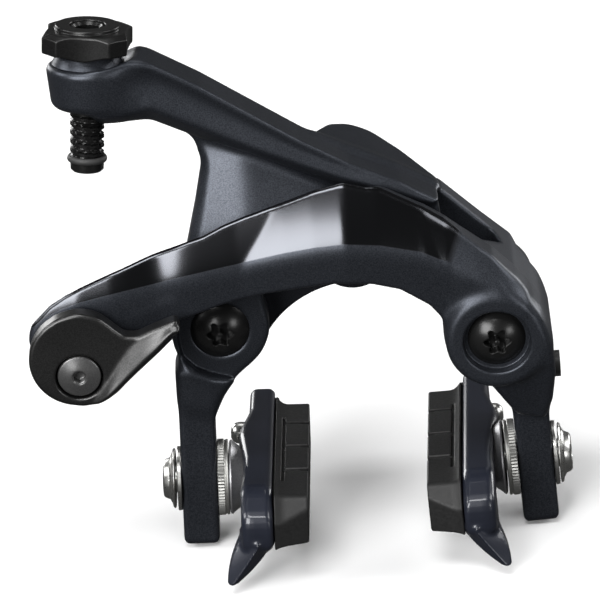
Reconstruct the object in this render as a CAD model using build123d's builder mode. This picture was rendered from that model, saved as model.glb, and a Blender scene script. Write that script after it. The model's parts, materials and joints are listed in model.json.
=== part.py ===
from build123d import *
import math
import os

# Dual-pivot rim brake caliper, in millimetres.
# X runs across the wheel, +Y points back into the fork crown and +Z is up.
# The origin is on the mounting stud's axis, where the toothed washer meets the crown.

# ---- driving dimensions ----
run_gap = 0.05            # radial clearance of a running fit
part_gap = 0.3            # gap between pieces that pass each other

pivot_x = 28.8            # each arm turns about a bolt this far from the middle
pivot_z = -7.2
pivot_bolt_r = 4.0
bolt_head_r = 6.7
head_room_r = 7.1         # the recess that the bolt's head sits in
bush_r = 5.5
stop_hub_r = 10.2
clamp_hub_r = 9.5

# the mounting end, seen from the side
stud_r = 3.0              # M6
stud_length = 20.0        # plain length, in front of the end's chamfer
stud_chamfer = 0.6
stud_shank_r = 3.5        # the thicker part that is pressed into the bracket
washer_thick = 1.5
washer_r = 8.0
bracket_back = -washer_thick
bracket_front = -10.0
bracket_lobe_r = 9.0
arch_r = 22.8             # the tyre passes under this arch
arch_front_r = 24.6       # the arch is cut back at the front
arch_z = -27.2
stud_front = -6.0         # the stud is pressed into a blind hole

# depth of each layer, from the back forwards
hub_back = -12.0
stop_hub_front = -20.5
clamp_hub_front = -34.0
stop_arm_back = -15.0
stop_arm_front = -25.6
web_back = -13.0          # the web that runs down from the top bar
web_front = -22.4
blade_back = -27.0
blade_front = -37.0
rail_back = -6.6
rail_front = -13.2
roller_back = -7.2
roller_front = -20.5
lug_back = -20.8
lug_front = -24.4

# the arms' legs, which carry the brake shoes
leg_x = 35.8              # middle of a leg at the height of the shoe bolt
leg_z = -43.0
leg_y = -16.5
leg_width = 7.6
leg_depth = 12.0
leg_bottom = -13.4        # below the shoe bolt, along the leg
leg_top = 24.0
leg_chamfer = 0.8
leg_lean = 2.2            # degrees, the arms stand open at rest
slot_half_width = 3.5
slot_travel = 5.7         # half the distance between the slot's round ends

# cable adjuster, on an axis that aims at the cable anchor
boss_x = -51.9
boss_y = -20.0
boss_z = 50.0
boss_top_r = 8.6
boss_bottom_r = 7.3
boss_half = 4.7
lean_right = 4.8          # degrees from upright
lean_back = 6.4
barrel_r = 3.6
barrel_pitch = 1.5
barrel_bottom = -18.3
barrel_top = 12.7
barrel_groove = 0.5       # depth of the thread's grooves
groove_width = 0.6
first_groove = 1.6        # below the boss
barrel_ring_up = 2.4      # from the barrel's lower end
barrel_ring_width = 1.4
barrel_ring_thick = 0.6
knob_low = 7.4
knob_high = 12.1
knob_hub_r = 6.7
knob_hub_top = 13.0
detent_low_r = 7.4
detent_high_r = 6.2
knob_half_width = 9.0     # middle to a main flat
knob_half_corner = 10.25  # middle to a corner flat
knob_turn = -5.5
casing_r = 2.6
casing_depth = 9.0
cable_r = 1.0

# quick-release lever, its drum and the cable anchor, which is off the drum's centre
drum_x = -57.9
drum_z = -2.6
drum_r = 7.0
drum_back = -25.4
drum_wall = 3.6           # metal round the drum at the end of the arm
lever_r = 10.2
lever_back = -37.4
lever_front = -42.4
anchor_offset = 3.6
anchor_head_r = 4.45
anchor_seat = -40.0       # the anchor bolt's head sits on this face
anchor_r = 2.5
anchor_back = -19.0
anchor_nut_back = -19.6
clamp_plate_back = -22.4
clamp_plate_r = 5.2

# brake shoe, measured from the middle of the leg towards the wheel
spacer_r = 8.2
dish_r = 7.5
washer_pack_r = 6.95
washer_pack_thick = 0.9
washer_slack = 0.6        # the spherical washers leave the bolt room to tilt
shoe_bolt_r = 3.0
shoe_bolt_head = -5.9
shoe_bolt_head_r = 4.4
shoe_bolt_head_thick = 1.9
shoe_bolt_end = 12.0
bolt_washer_r = 6.5
bolt_washer_thick = 0.8
spacer_end = 6.2
dish_start = 6.5
dish_end = 8.7
left_holder_end = 16.1
right_holder_end = 15.1
pocket_depth = 3.1        # the pad's back sits this deep in the holder
pad_thick = 7.3           # in front of the holder
holder_corner = 2.4
holder_boss_r = 5.3
holder_low = -4.3
holder_high = 7.6
pad_low = -3.7
pad_high = 6.5
holder_front = -29.5
holder_back = 28.5
set_screw_x = 15.0        # back from the shoe bolt
set_screw_z = 3.2
set_screw_r = 2.4
set_screw_end = 6.4
right_toe_in = 2.4        # degrees, the right shoe's front end is nearer the rim
left_toe_in = -1.3        # the left shoe's front end is further from it

# synchronising roller between the two arms
roller_x = 15.9
roller_z = 9.4
roller_r = 3.0
roller_pin_r = 1.5

# centring screw in the right arm's outer side
centring_x = 40.6
centring_z = -22.0
centring_r = 1.5
centring_length = 9.0
centring_head_r = 2.8
centring_head_thick = 1.5
centring_seat = 0.1       # the head stands clear of the arm

os.makedirs("parts", exist_ok=True)


# ---- planes ----
def facing_front(y):
    """Plane at depth y that looks towards -Y: local x is X and local y is Z."""
    return Plane.XZ.offset(-y)


adjuster_axis = Vector(math.tan(math.radians(lean_right)), math.tan(math.radians(lean_back)), 1)
adjuster_centre = Vector(boss_x, boss_y, boss_z)
adjuster = Plane(origin=adjuster_centre, x_dir=Vector(0, 1, 0).cross(adjuster_axis), z_dir=adjuster_axis)
centring_plane = Plane(origin=(centring_x, leg_y, centring_z), x_dir=(0, 1, 0), z_dir=(1, 0, 0))


def leg_plane(toe=0.0):
    """Plane in the middle of the left leg: local z points at the wheel, x back and y up."""
    lean = math.radians(leg_lean)
    inward = Vector(math.cos(lean), 0, -math.sin(lean))
    up = Vector(math.sin(lean), 0, math.cos(lean))
    level = Plane(origin=(-leg_x, leg_y, leg_z), x_dir=(0, 1, 0), z_dir=inward)
    if toe == 0.0:
        return level
    turned = inward.rotate(Axis((0, 0, 0), up), toe)
    return Plane(origin=level.origin, x_dir=up.cross(turned), z_dir=turned)


def keep_side(side):
    """Every leg and shoe is drawn on the left, and the right-hand one is its mirror image."""
    if side > 0:
        mirror(about=Plane.YZ, mode=Mode.REPLACE)


def save(piece, label):
    piece.part.label = label
    export_step(piece.part, "parts/" + label + ".step")


# ---- bracket, mounting stud and pivots ----
def make_bracket():
    edge_chamfer = 0.8
    thick = bracket_back - bracket_front
    with BuildPart() as bracket:
        with BuildSketch(facing_front(bracket_back)):
            with Locations((-pivot_x, pivot_z), (pivot_x, pivot_z)):
                Circle(bracket_lobe_r)
            Circle(bracket_lobe_r)
            make_hull()
        extrude(amount=thick)
        chamfer(bracket.faces().sort_by(Axis.Y)[0].edges(), edge_chamfer)
        with BuildSketch(facing_front(bracket_back + thick / 2)):
            with Locations((0, arch_z)):
                Circle(arch_r)
            with Locations((-pivot_x, pivot_z), (pivot_x, pivot_z)):
                Circle(pivot_bolt_r)
        extrude(amount=2 * thick, mode=Mode.SUBTRACT)
        with BuildSketch(facing_front(stud_front)):
            with Locations((0, arch_z)):
                Circle(arch_front_r)
        extrude(amount=thick, mode=Mode.SUBTRACT)
        with BuildSketch(facing_front(bracket_back)):
            Circle(stud_shank_r)
        extrude(amount=bracket_back - stud_front, mode=Mode.SUBTRACT)
    save(bracket, "bracket")


def make_mounting_stud():
    with BuildPart() as stud:
        with BuildSketch(facing_front(stud_length + stud_chamfer)):
            Circle(stud_r)
        extrude(amount=stud_length + stud_chamfer)
        chamfer(stud.faces().sort_by(Axis.Y)[-1].edges(), stud_chamfer)
        with BuildSketch(facing_front(0)):
            Circle(stud_shank_r)
        extrude(amount=-stud_front)
    save(stud, "mounting_stud")


def make_serrated_washer(teeth=24):
    tooth_inner_r = 5.0
    tooth_outer_r = washer_r + 1
    tooth_gap = 0.7
    tooth_height = 0.5
    with BuildPart() as washer:
        with BuildSketch(facing_front(0)):
            Circle(washer_r)
            Circle(stud_shank_r + run_gap, mode=Mode.SUBTRACT)
        extrude(amount=washer_thick)
        with BuildSketch(facing_front(0)):
            with PolarLocations((tooth_outer_r + tooth_inner_r) / 2, teeth):
                Rectangle(tooth_outer_r - tooth_inner_r, tooth_gap)
        extrude(amount=tooth_height, mode=Mode.SUBTRACT)
    save(washer, "serrated_washer")


def make_pivot_bolt(label, x, hub_front):
    head_back = hub_front - 0.4
    head_thick = 2.4
    head_round = 1.6
    shank_back = bracket_back - 1.0
    socket_r = 1.9
    socket_lobe_r = 0.75
    socket_depth = 1.8
    with BuildPart() as bolt:
        with BuildSketch(facing_front(shank_back)):
            with Locations((x, pivot_z)):
                Circle(pivot_bolt_r)
        extrude(amount=shank_back - head_back)
        with BuildSketch(facing_front(head_back)):
            with Locations((x, pivot_z)):
                Circle(bolt_head_r)
        extrude(amount=head_thick)
        fillet(bolt.faces().sort_by(Axis.Y)[0].edges(), head_round)
        # star socket
        with BuildSketch(facing_front(head_back - head_thick)):
            with Locations((x, pivot_z)):
                Circle(socket_r)
                with PolarLocations(socket_r, 6):
                    Circle(socket_lobe_r)
        extrude(amount=-socket_depth, mode=Mode.SUBTRACT)
    save(bolt, label)


def make_thrust_washers():
    thrust_r = 7.5
    end_play = 0.2
    with BuildPart() as washers:
        with BuildSketch(facing_front(bracket_front)):
            with Locations((-pivot_x, pivot_z), (pivot_x, pivot_z)):
                Circle(thrust_r)
                Circle(pivot_bolt_r + run_gap, mode=Mode.SUBTRACT)
        extrude(amount=bracket_front - hub_back - end_play)
    save(washers, "thrust_washers")


def make_pivot_bush(label, x, spans):
    with BuildPart() as bush:
        for back, front in spans:
            with BuildSketch(facing_front(back)):
                with Locations((x, pivot_z)):
                    Circle(bush_r)
                    Circle(pivot_bolt_r + run_gap, mode=Mode.SUBTRACT)
            extrude(amount=back - front)
    save(bush, label)


def make_return_spring():
    wire_r = 0.8
    wire_y = (bracket_front + hub_back) / 2
    start = (-21.0, 12.5)
    route = [start, (-11.0, 11.0), (4.0, 7.5), (13.0, 1.5), (17.5, -2.5)]
    with BuildPart() as spring:
        with BuildLine(facing_front(wire_y)) as wire:
            FilletPolyline(*route, radius=6)
        with BuildSketch(Plane(origin=wire.line @ 0, z_dir=wire.line % 0)):
            Circle(wire_r)
        sweep()
    save(spring, "return_spring")


# ---- the leg that both arms share ----
def leg_with_slot(side):
    plane = leg_plane()
    with BuildPart() as leg:
        with BuildSketch(plane.offset(-leg_width / 2)):
            with Locations((0, (leg_top + leg_bottom) / 2)):
                Rectangle(leg_depth, leg_top - leg_bottom)
        extrude(amount=leg_width)
        bottom = leg.faces().sort_by(Axis.Z)[0]
        chamfer(bottom.edges(), leg_chamfer)
        with BuildSketch(plane.offset(-leg_width)):
            SlotCenterToCenter(2 * slot_travel, 2 * slot_half_width, rotation=90)
        extrude(amount=2 * leg_width, mode=Mode.SUBTRACT)
        keep_side(side)
    return leg.part


# ---- cable-stop arm, pivoted on the left ----
def make_stop_arm():
    bar_outline = [
        (-44.0, 56.2), (-38.5, 55.2), (-28.7, 49.2), (-9.0, 35.8), (0.9, 30.0), (11.0, 25.5), (18.6, 20.9),
        (17.6, 19.9), (9.0, 20.4), (0.7, 23.6), (-9.3, 28.2), (-19.3, 33.0), (-29.3, 38.6), (-40.0, 44.2),
        (-44.0, 45.2),
    ]
    web_outline = [
        (-41.6, 43.4), (-37.6, 40.6), (-32.0, 35.6), (-30.3, 32.3), (-30.3, 29.0), (-31.8, 22.4),
        (-33.8, 14.6), (-36.8, 4.0), (-38.9, -7.2), (-38.6, -22.0), (-31.1, -25.6), (-25.4, -18.6),
        (-21.4, -12.6), (-19.4, -7.8), (-19.4, -2.0), (-18.0, 5.0), (-12.0, 14.5), (0.0, 19.4), (9.0, 20.6),
        (0.7, 26.0), (-19.3, 38.0),
    ]
    lug_outline = [
        (18.0, 20.4), (8.5, 20.7), (12.5, 13.0), (12.6, 7.6), (15.9, 6.2), (19.0, 7.8), (19.2, 11.5),
    ]
    neck_outline = [
        (boss_x, boss_z - 4.6), (-42.0, 43.6), (-38.6, 43.6), (-38.6, 55.2), (-44.0, 56.0),
        (boss_x, boss_z + 4.2),
    ]
    lobe_low = 15.0
    lobe_high = 40.0
    lobe_plan = [
        (-5.4, stop_arm_back - 1), (-5.4, stop_arm_back), (-2.6, -7.4), (0.0, -3.8), (2.0, -2.5), (4.6, -2.3),
        (8.0, -3.4), (13.0, -7.0), (19.0, -12.4), (19.0, stop_arm_back - 1),
    ]
    lobe_band = [
        (-6.0, 33.8), (0.9, 30.0), (11.0, 25.5), (19.0, 20.7), (11.0, 20.2), (0.9, 22.5), (-6.0, 27.0),
    ]
    with BuildPart() as lobe:
        with BuildSketch(Plane.XY.offset(lobe_low)):
            with BuildLine():
                Polyline(*lobe_plan, close=True)
            make_face()
        extrude(amount=lobe_high - lobe_low)
        with BuildSketch(facing_front(0)):
            with BuildLine():
                Polyline(*lobe_band, close=True)
            make_face()
        extrude(amount=-web_front, mode=Mode.INTERSECT)
    leg = leg_with_slot(-1)
    with BuildPart() as arm:
        # the straight top bar
        with BuildSketch(facing_front(stop_arm_back)):
            with BuildLine():
                Polyline(*bar_outline, close=True)
            make_face()
        extrude(amount=stop_arm_back - stop_arm_front)
        # the web that runs down to the pivot
        with BuildSketch(facing_front(web_back)):
            with BuildLine():
                Polyline(*web_outline, close=True)
            make_face()
        extrude(amount=web_back - web_front)
        # the lug that carries the synchronising roller
        with BuildSketch(facing_front(lug_back)):
            with BuildLine():
                Polyline(*lug_outline, close=True)
            make_face()
        extrude(amount=lug_back - lug_front)
        # the rounded lobe behind the bar
        add(lobe.part)
        # the pivot hub
        with BuildSketch(facing_front(hub_back)):
            with Locations((-pivot_x, pivot_z)):
                Circle(stop_hub_r)
        extrude(amount=hub_back - stop_hub_front)
        add(leg)
        # the adjuster boss and its neck
        with BuildSketch(adjuster.offset(-boss_half)):
            Circle(boss_bottom_r)
        with BuildSketch(adjuster.offset(boss_half)):
            Circle(boss_top_r)
        loft()
        with BuildSketch(facing_front(stop_arm_back)):
            with BuildLine():
                Polyline(*neck_outline, close=True)
            make_face()
        extrude(amount=stop_arm_back - stop_arm_front)
        # room round the detent ring and under the knob
        with BuildSketch(adjuster.offset(boss_half)):
            Circle(detent_low_r + part_gap)
        extrude(amount=boss_half, mode=Mode.SUBTRACT)
        # holes
        with BuildSketch(adjuster.offset(-2 * boss_half)):
            Circle(barrel_r + run_gap)
        extrude(amount=4 * boss_half, mode=Mode.SUBTRACT)
        with BuildSketch(facing_front(0)):
            with Locations((-pivot_x, pivot_z)):
                Circle(bush_r)
        extrude(amount=-web_front, mode=Mode.SUBTRACT)
        # room in front of the hub for the bolt's head
        with BuildSketch(facing_front(stop_hub_front)):
            with Locations((-pivot_x, pivot_z)):
                Circle(head_room_r)
        extrude(amount=stop_hub_front - blade_back, mode=Mode.SUBTRACT)
        with BuildSketch(facing_front(roller_back)):
            with Locations((roller_x, roller_z)):
                Circle(roller_pin_r)
        extrude(amount=roller_back - lug_front, mode=Mode.SUBTRACT)
    save(arm, "stop_arm")


def make_stop_arm_pieces():
    roller_chamfer = 0.3
    make_pivot_bush("left_pivot_bush", -pivot_x, [(hub_back, stop_hub_front)])

    with BuildPart() as pin:
        with BuildSketch(facing_front(rail_back)):
            with Locations((roller_x, roller_z)):
                Circle(roller_pin_r)
        extrude(amount=rail_back - lug_front)
    save(pin, "roller_pin")

    with BuildPart() as roller:
        with BuildSketch(facing_front(roller_back)):
            with Locations((roller_x, roller_z)):
                Circle(roller_r)
                Circle(roller_pin_r + run_gap, mode=Mode.SUBTRACT)
        extrude(amount=roller_back - roller_front)
        chamfer(roller.faces().sort_by(Axis.Y)[0].outer_wire().edges(), roller_chamfer)
    save(roller, "sync_roller")

    make_spring_guide("left_spring_guide", (-21.6, 10.6), web_back)

    with BuildPart() as detents:
        with BuildSketch(adjuster.offset(boss_half)):
            Circle(detent_low_r)
        with BuildSketch(adjuster.offset(knob_low - part_gap)):
            Circle(detent_high_r)
        loft()
        with BuildSketch(adjuster.offset(boss_half)):
            Circle(barrel_r + run_gap)
        extrude(amount=knob_low - boss_half, mode=Mode.SUBTRACT)
    save(detents, "detent_ring")


def make_spring_guide(label, place, arm_back):
    """A plastic post on the arm that the spring's end leans on."""
    guide_r = 1.0
    with BuildPart() as guide:
        with BuildSketch(facing_front(bracket_front - part_gap)):
            with Locations(place):
                Circle(guide_r)
        extrude(amount=bracket_front - part_gap - arm_back)
    save(guide, label)


def make_adjuster():
    grooves = 7
    with BuildPart() as knob:
        with BuildSketch(adjuster.offset(knob_low)):
            Rectangle(2 * knob_half_width, 2 * knob_half_width, rotation=knob_turn)
            Rectangle(
                2 * knob_half_corner, 2 * knob_half_corner, rotation=knob_turn + 45, mode=Mode.INTERSECT,
            )
        extrude(amount=knob_high - knob_low)
        with BuildSketch(adjuster.offset(knob_high)):
            Circle(knob_hub_r)
        extrude(amount=knob_hub_top - knob_high)
        with BuildSketch(adjuster.offset(knob_low)):
            Circle(barrel_r + run_gap)
        extrude(amount=knob_hub_top - knob_low, mode=Mode.SUBTRACT)
    save(knob, "adjuster_knob")

    with BuildPart() as barrel:
        with BuildSketch(adjuster.offset(barrel_bottom)):
            Circle(barrel_r)
        extrude(amount=barrel_top - barrel_bottom)
        chamfer(barrel.faces().sort_by(Axis.Z)[0].edges(), barrel_groove)
        # thread grooves below the boss
        for turn in range(grooves):
            with BuildSketch(adjuster.offset(-boss_half - first_groove - turn * barrel_pitch)):
                Circle(2 * barrel_r)
                Circle(barrel_r - barrel_groove, mode=Mode.SUBTRACT)
            extrude(amount=groove_width, mode=Mode.SUBTRACT)
        with BuildSketch(adjuster.offset(barrel_top)):
            Circle(casing_r)
        extrude(amount=-casing_depth, mode=Mode.SUBTRACT)
        with BuildSketch(adjuster.offset(barrel_top)):
            Circle(cable_r)
        extrude(amount=-(barrel_top - barrel_bottom), mode=Mode.SUBTRACT)
    save(barrel, "adjuster_barrel")

    with BuildPart() as ring:
        with BuildSketch(adjuster.offset(barrel_bottom + barrel_ring_up)):
            Circle(barrel_r + barrel_ring_thick)
            Circle(barrel_r, mode=Mode.SUBTRACT)
        extrude(amount=barrel_ring_width)
    save(ring, "barrel_ring")


# ---- cable-clamp arm, pivoted on the right ----
def make_clamp_arm():
    top_edge = [
        (-67.4, 1.6), (-64.5, 4.6), (-60.1, 6.9), (-52.6, 9.4), (-41.8, 13.5), (-33.9, 16.4), (-27.8, 19.6),
        (-20.3, 22.9), (-9.7, 26.2), (-1.2, 27.1), (5.9, 24.9), (14.8, 20.3), (22.1, 14.8), (29.0, 9.0),
    ]
    crease = [
        (-67.0, 1.4), (-63.0, 4.6), (-57.4, 6.9), (-41.9, 11.0), (-31.4, 13.4), (-21.0, 14.8), (-10.6, 15.8),
        (-1.3, 16.2), (10.0, 14.7), (20.1, 11.0), (30.1, 5.3),
    ]
    lower_edge = [
        (30.0, -8.0), (20.2, -8.2), (18.4, -6.2), (18.4, -3.2), (15.4, 1.0), (9.5, 5.2), (3.4, 7.2),
        (-3.8, 8.0), (-11.1, 7.4), (-19.5, 6.5), (-27.9, 4.8), (-36.5, 1.4), (-40.8, -0.1), (-45.0, -1.6),
        (-49.2, -4.0),
    ]
    body_front = [
        (22.0, 14.6), (31.4, 8.4), (35.1, 8.2), (38.0, 4.6), (39.9, -0.4), (40.6, -7.1), (40.7, -16.2),
        (40.5, -23.8), (39.4, -27.6), (31.6, -28.0), (24.9, -16.1), (20.1, -8.2), (18.6, -2.0), (20.0, 3.0),
    ]
    body_back = [
        (24.0, 4.4), (31.0, 6.2), (34.6, 4.4), (37.8, 0.0), (39.6, -5.0), (40.7, -16.2), (40.5, -23.8),
        (39.4, -27.6), (31.6, -28.0), (24.9, -16.1), (20.1, -8.2), (20.0, 0.0),
    ]
    rail_outline = [
        (19.4, 19.0), (21.5, 17.2), (25.4, 12.9), (31.5, 7.2), (34.2, 4.2), (32.4, 3.4), (28.8, 3.9),
        (24.5, 5.7), (15.8, 13.7), (12.6, 16.6), (12.6, 18.8),
    ]
    slot_outline = [(12.0, 24.0), (12.0, 5.0), (23.0, 4.0), (30.4, 7.6), (20.0, 18.0)]
    upper_band = 4.2
    body_split = hub_back - 8.0
    body_front_y = body_split - 11.0
    leg = leg_with_slot(1)
    with BuildPart() as arm:
        # blade: the lower band is full depth and the upper band lies back
        with BuildSketch(facing_front(blade_back)):
            with BuildLine():
                Polyline(*crease, *lower_edge, close=True)
            make_face()
        extrude(amount=blade_back - blade_front)
        with BuildSketch(facing_front(blade_back)):
            with BuildLine():
                Polyline(*top_edge, *lower_edge, close=True)
            make_face()
        extrude(amount=upper_band)
        # round end that holds the quick-release drum
        with BuildSketch(facing_front(blade_back)):
            with Locations((drum_x, drum_z)):
                Circle(drum_r + drum_wall)
        extrude(amount=blade_back - blade_front)
        # right-hand body and pivot hub
        with BuildSketch(facing_front(hub_back)):
            with BuildLine():
                Polyline(*body_back, close=True)
            make_face()
        extrude(amount=hub_back - body_split)
        with BuildSketch(facing_front(body_split)):
            with BuildLine():
                Polyline(*body_front, close=True)
            make_face()
        extrude(amount=body_split - body_front_y)
        with BuildSketch(facing_front(hub_back)):
            with Locations((pivot_x, pivot_z)):
                Circle(clamp_hub_r)
        extrude(amount=hub_back - clamp_hub_front)
        # rail that the synchronising roller runs under
        with BuildSketch(facing_front(rail_back)):
            with BuildLine():
                Polyline(*rail_outline, close=True)
            make_face()
        extrude(amount=rail_back - rail_front)
        add(leg)
        # pocket between the blade and the rail
        with BuildSketch(facing_front(rail_front)):
            with BuildLine():
                Polyline(*slot_outline, close=True)
            make_face()
        extrude(amount=rail_front - blade_back, mode=Mode.SUBTRACT)
        # holes
        with BuildSketch(facing_front(0)):
            with Locations((pivot_x, pivot_z)):
                Circle(bush_r)
        extrude(amount=-lever_front, mode=Mode.SUBTRACT)
        with BuildSketch(facing_front(clamp_hub_front)):
            with Locations((pivot_x, pivot_z)):
                Circle(head_room_r)
        extrude(amount=clamp_hub_front - lever_front, mode=Mode.SUBTRACT)
        with BuildSketch(facing_front(0)):
            with Locations((drum_x, drum_z)):
                Circle(drum_r + run_gap)
        extrude(amount=-lever_front, mode=Mode.SUBTRACT)
        with BuildSketch(centring_plane.offset(centring_length)):
            Circle(centring_r + run_gap)
        extrude(amount=-centring_length - leg_width - 2 * leg_depth, mode=Mode.SUBTRACT)
    save(arm, "clamp_arm")


def make_clamp_arm_pieces():
    bush_length = 8.0
    key_r = 1.0
    key_depth = 1.2
    make_pivot_bush(
        "right_pivot_bushes", pivot_x,
        [(hub_back, hub_back - bush_length), (clamp_hub_front + bush_length, clamp_hub_front)],
    )
    make_spring_guide("right_spring_guide", (18.9, -1.4), hub_back)

    with BuildPart() as screw:
        with BuildSketch(centring_plane.offset(-centring_length)):
            Circle(centring_r)
        extrude(amount=centring_length + 2 * centring_seat)
        with BuildSketch(centring_plane.offset(centring_seat)):
            Circle(centring_head_r)
        extrude(amount=centring_head_thick)
        with BuildSketch(centring_plane.offset(centring_seat + centring_head_thick)):
            RegularPolygon(key_r, 6)
        extrude(amount=-key_depth, mode=Mode.SUBTRACT)
    save(screw, "centring_screw")


# ---- quick-release lever and cable anchor ----
def make_quick_release():
    lever_outline = [
        (-53.5, 6.9), (-51.4, 5.2), (-48.6, 2.7), (-45.7, 2.1), (-40.4, 3.7), (-36.8, 4.6), (-36.2, 2.6),
        (-38.6, -1.9), (-47.5, -9.2), (-53.6, -12.2), (-60.0, -8.0),
    ]
    anchor_z = drum_z - anchor_offset
    head_thick = 2.3
    head_chamfer = 0.3
    key_r = 1.25
    key_depth = 1.6
    cable_groove_r = 0.8
    nut_r = 4.4
    with BuildPart() as lever:
        with BuildSketch(facing_front(lever_back)):
            with Locations((drum_x, drum_z)):
                Circle(lever_r)
            with BuildLine():
                Polyline(*lever_outline, close=True)
            make_face()
        extrude(amount=lever_back - lever_front)
        with BuildSketch(facing_front(drum_back)):
            with Locations((drum_x, drum_z)):
                Circle(drum_r)
        extrude(amount=drum_back - lever_back)
        with BuildSketch(facing_front(anchor_back)):
            with Locations((drum_x, anchor_z)):
                Circle(anchor_r)
        extrude(amount=anchor_back - lever_front, mode=Mode.SUBTRACT)
        with BuildSketch(facing_front(anchor_seat)):
            with Locations((drum_x, anchor_z)):
                Circle(anchor_head_r + part_gap)
        extrude(amount=anchor_seat - lever_front, mode=Mode.SUBTRACT)
    save(lever, "quick_release_lever")

    with BuildPart() as bolt:
        with BuildSketch(facing_front(anchor_back)):
            with Locations((drum_x, anchor_z)):
                Circle(anchor_r)
        extrude(amount=anchor_back - anchor_seat)
        with BuildSketch(facing_front(anchor_seat)):
            with Locations((drum_x, anchor_z)):
                Circle(anchor_head_r)
        extrude(amount=head_thick)
        chamfer(bolt.faces().sort_by(Axis.Y)[0].edges(), head_chamfer)
        with BuildSketch(facing_front(anchor_seat - head_thick)):
            with Locations((drum_x, anchor_z)):
                RegularPolygon(key_r, 6)
        extrude(amount=-key_depth, mode=Mode.SUBTRACT)
    save(bolt, "cable_anchor_bolt")

    with BuildPart() as plate:
        with BuildSketch(facing_front(clamp_plate_back)):
            with Locations((drum_x, anchor_z)):
                Circle(clamp_plate_r)
                Circle(anchor_r, mode=Mode.SUBTRACT)
        extrude(amount=clamp_plate_back - drum_back)
        # groove for the cable
        with BuildSketch(Plane.XY.offset(anchor_z - 2 * clamp_plate_r)):
            with Locations((drum_x + anchor_r + cable_groove_r, drum_back)):
                Circle(cable_groove_r)
        extrude(amount=4 * clamp_plate_r, mode=Mode.SUBTRACT)
    save(plate, "cable_clamp_plate")

    with BuildPart() as nut:
        with BuildSketch(facing_front(anchor_nut_back)):
            with Locations((drum_x, anchor_z)):
                RegularPolygon(nut_r, 6)
                Circle(anchor_r, mode=Mode.SUBTRACT)
        extrude(amount=anchor_nut_back - clamp_plate_back)
    save(nut, "cable_anchor_nut")


# ---- brake shoes ----
def make_shoe(name, side, toe, holder_end):
    make_shoe_washers(name, side, toe)
    make_shoe_holder(name, side, toe, holder_end)
    make_brake_pad(name, side, toe, holder_end)


def make_shoe_washers(name, side, toe):
    level = leg_plane()
    turned = leg_plane(toe)
    half_leg = leg_width / 2
    key_r = 2.2
    key_depth = 1.4
    dish_edge = 0.4
    dish_slope = 2.2

    with BuildPart() as spacer:
        with BuildSketch(level.offset(half_leg + run_gap)):
            Circle(spacer_r)
            Circle(shoe_bolt_r + washer_slack, mode=Mode.SUBTRACT)
        extrude(amount=spacer_end - half_leg - run_gap)
        keep_side(side)
    save(spacer, name + "_shoe_spacer")

    with BuildPart() as washer:
        with BuildSketch(level.offset(-half_leg - run_gap)):
            Circle(washer_pack_r)
            Circle(shoe_bolt_r + washer_slack, mode=Mode.SUBTRACT)
        extrude(amount=-washer_pack_thick)
        keep_side(side)
    save(washer, name + "_leg_washer")

    with BuildPart() as dish:
        with BuildSketch(turned.offset(dish_start)):
            Circle(dish_r - dish_edge)
        with BuildSketch(turned.offset(dish_end)):
            Circle(dish_r - dish_slope)
        loft()
        with BuildSketch(turned.offset(dish_start)):
            Circle(shoe_bolt_r)
        extrude(amount=dish_end - dish_start, mode=Mode.SUBTRACT)
        keep_side(side)
    save(dish, name + "_convex_washer")

    with BuildPart() as bolt:
        with BuildSketch(turned.offset(shoe_bolt_head)):
            Circle(shoe_bolt_r)
        extrude(amount=shoe_bolt_end - shoe_bolt_head)
        with BuildSketch(turned.offset(shoe_bolt_head)):
            Circle(shoe_bolt_head_r)
        extrude(amount=-shoe_bolt_head_thick)
        with BuildSketch(turned.offset(shoe_bolt_head - shoe_bolt_head_thick)):
            RegularPolygon(key_r, 6)
        extrude(amount=key_depth, mode=Mode.SUBTRACT)
        keep_side(side)
    save(bolt, name + "_shoe_bolt")

    with BuildPart() as cup:
        with BuildSketch(turned.offset(shoe_bolt_head)):
            Circle(bolt_washer_r)
            Circle(shoe_bolt_r, mode=Mode.SUBTRACT)
        extrude(amount=bolt_washer_thick)
        keep_side(side)
    save(cup, name + "_bolt_washer")


def pad_tongue(back):
    """The pad's back and the pocket it slides into: (middle of the length, middle, length, height)."""
    front = holder_front + 1.6
    side_wall = 0.6
    height = pad_high - pad_low - 2 * side_wall
    return (front + back) / 2, (pad_low + pad_high) / 2, back - front, height


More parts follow.
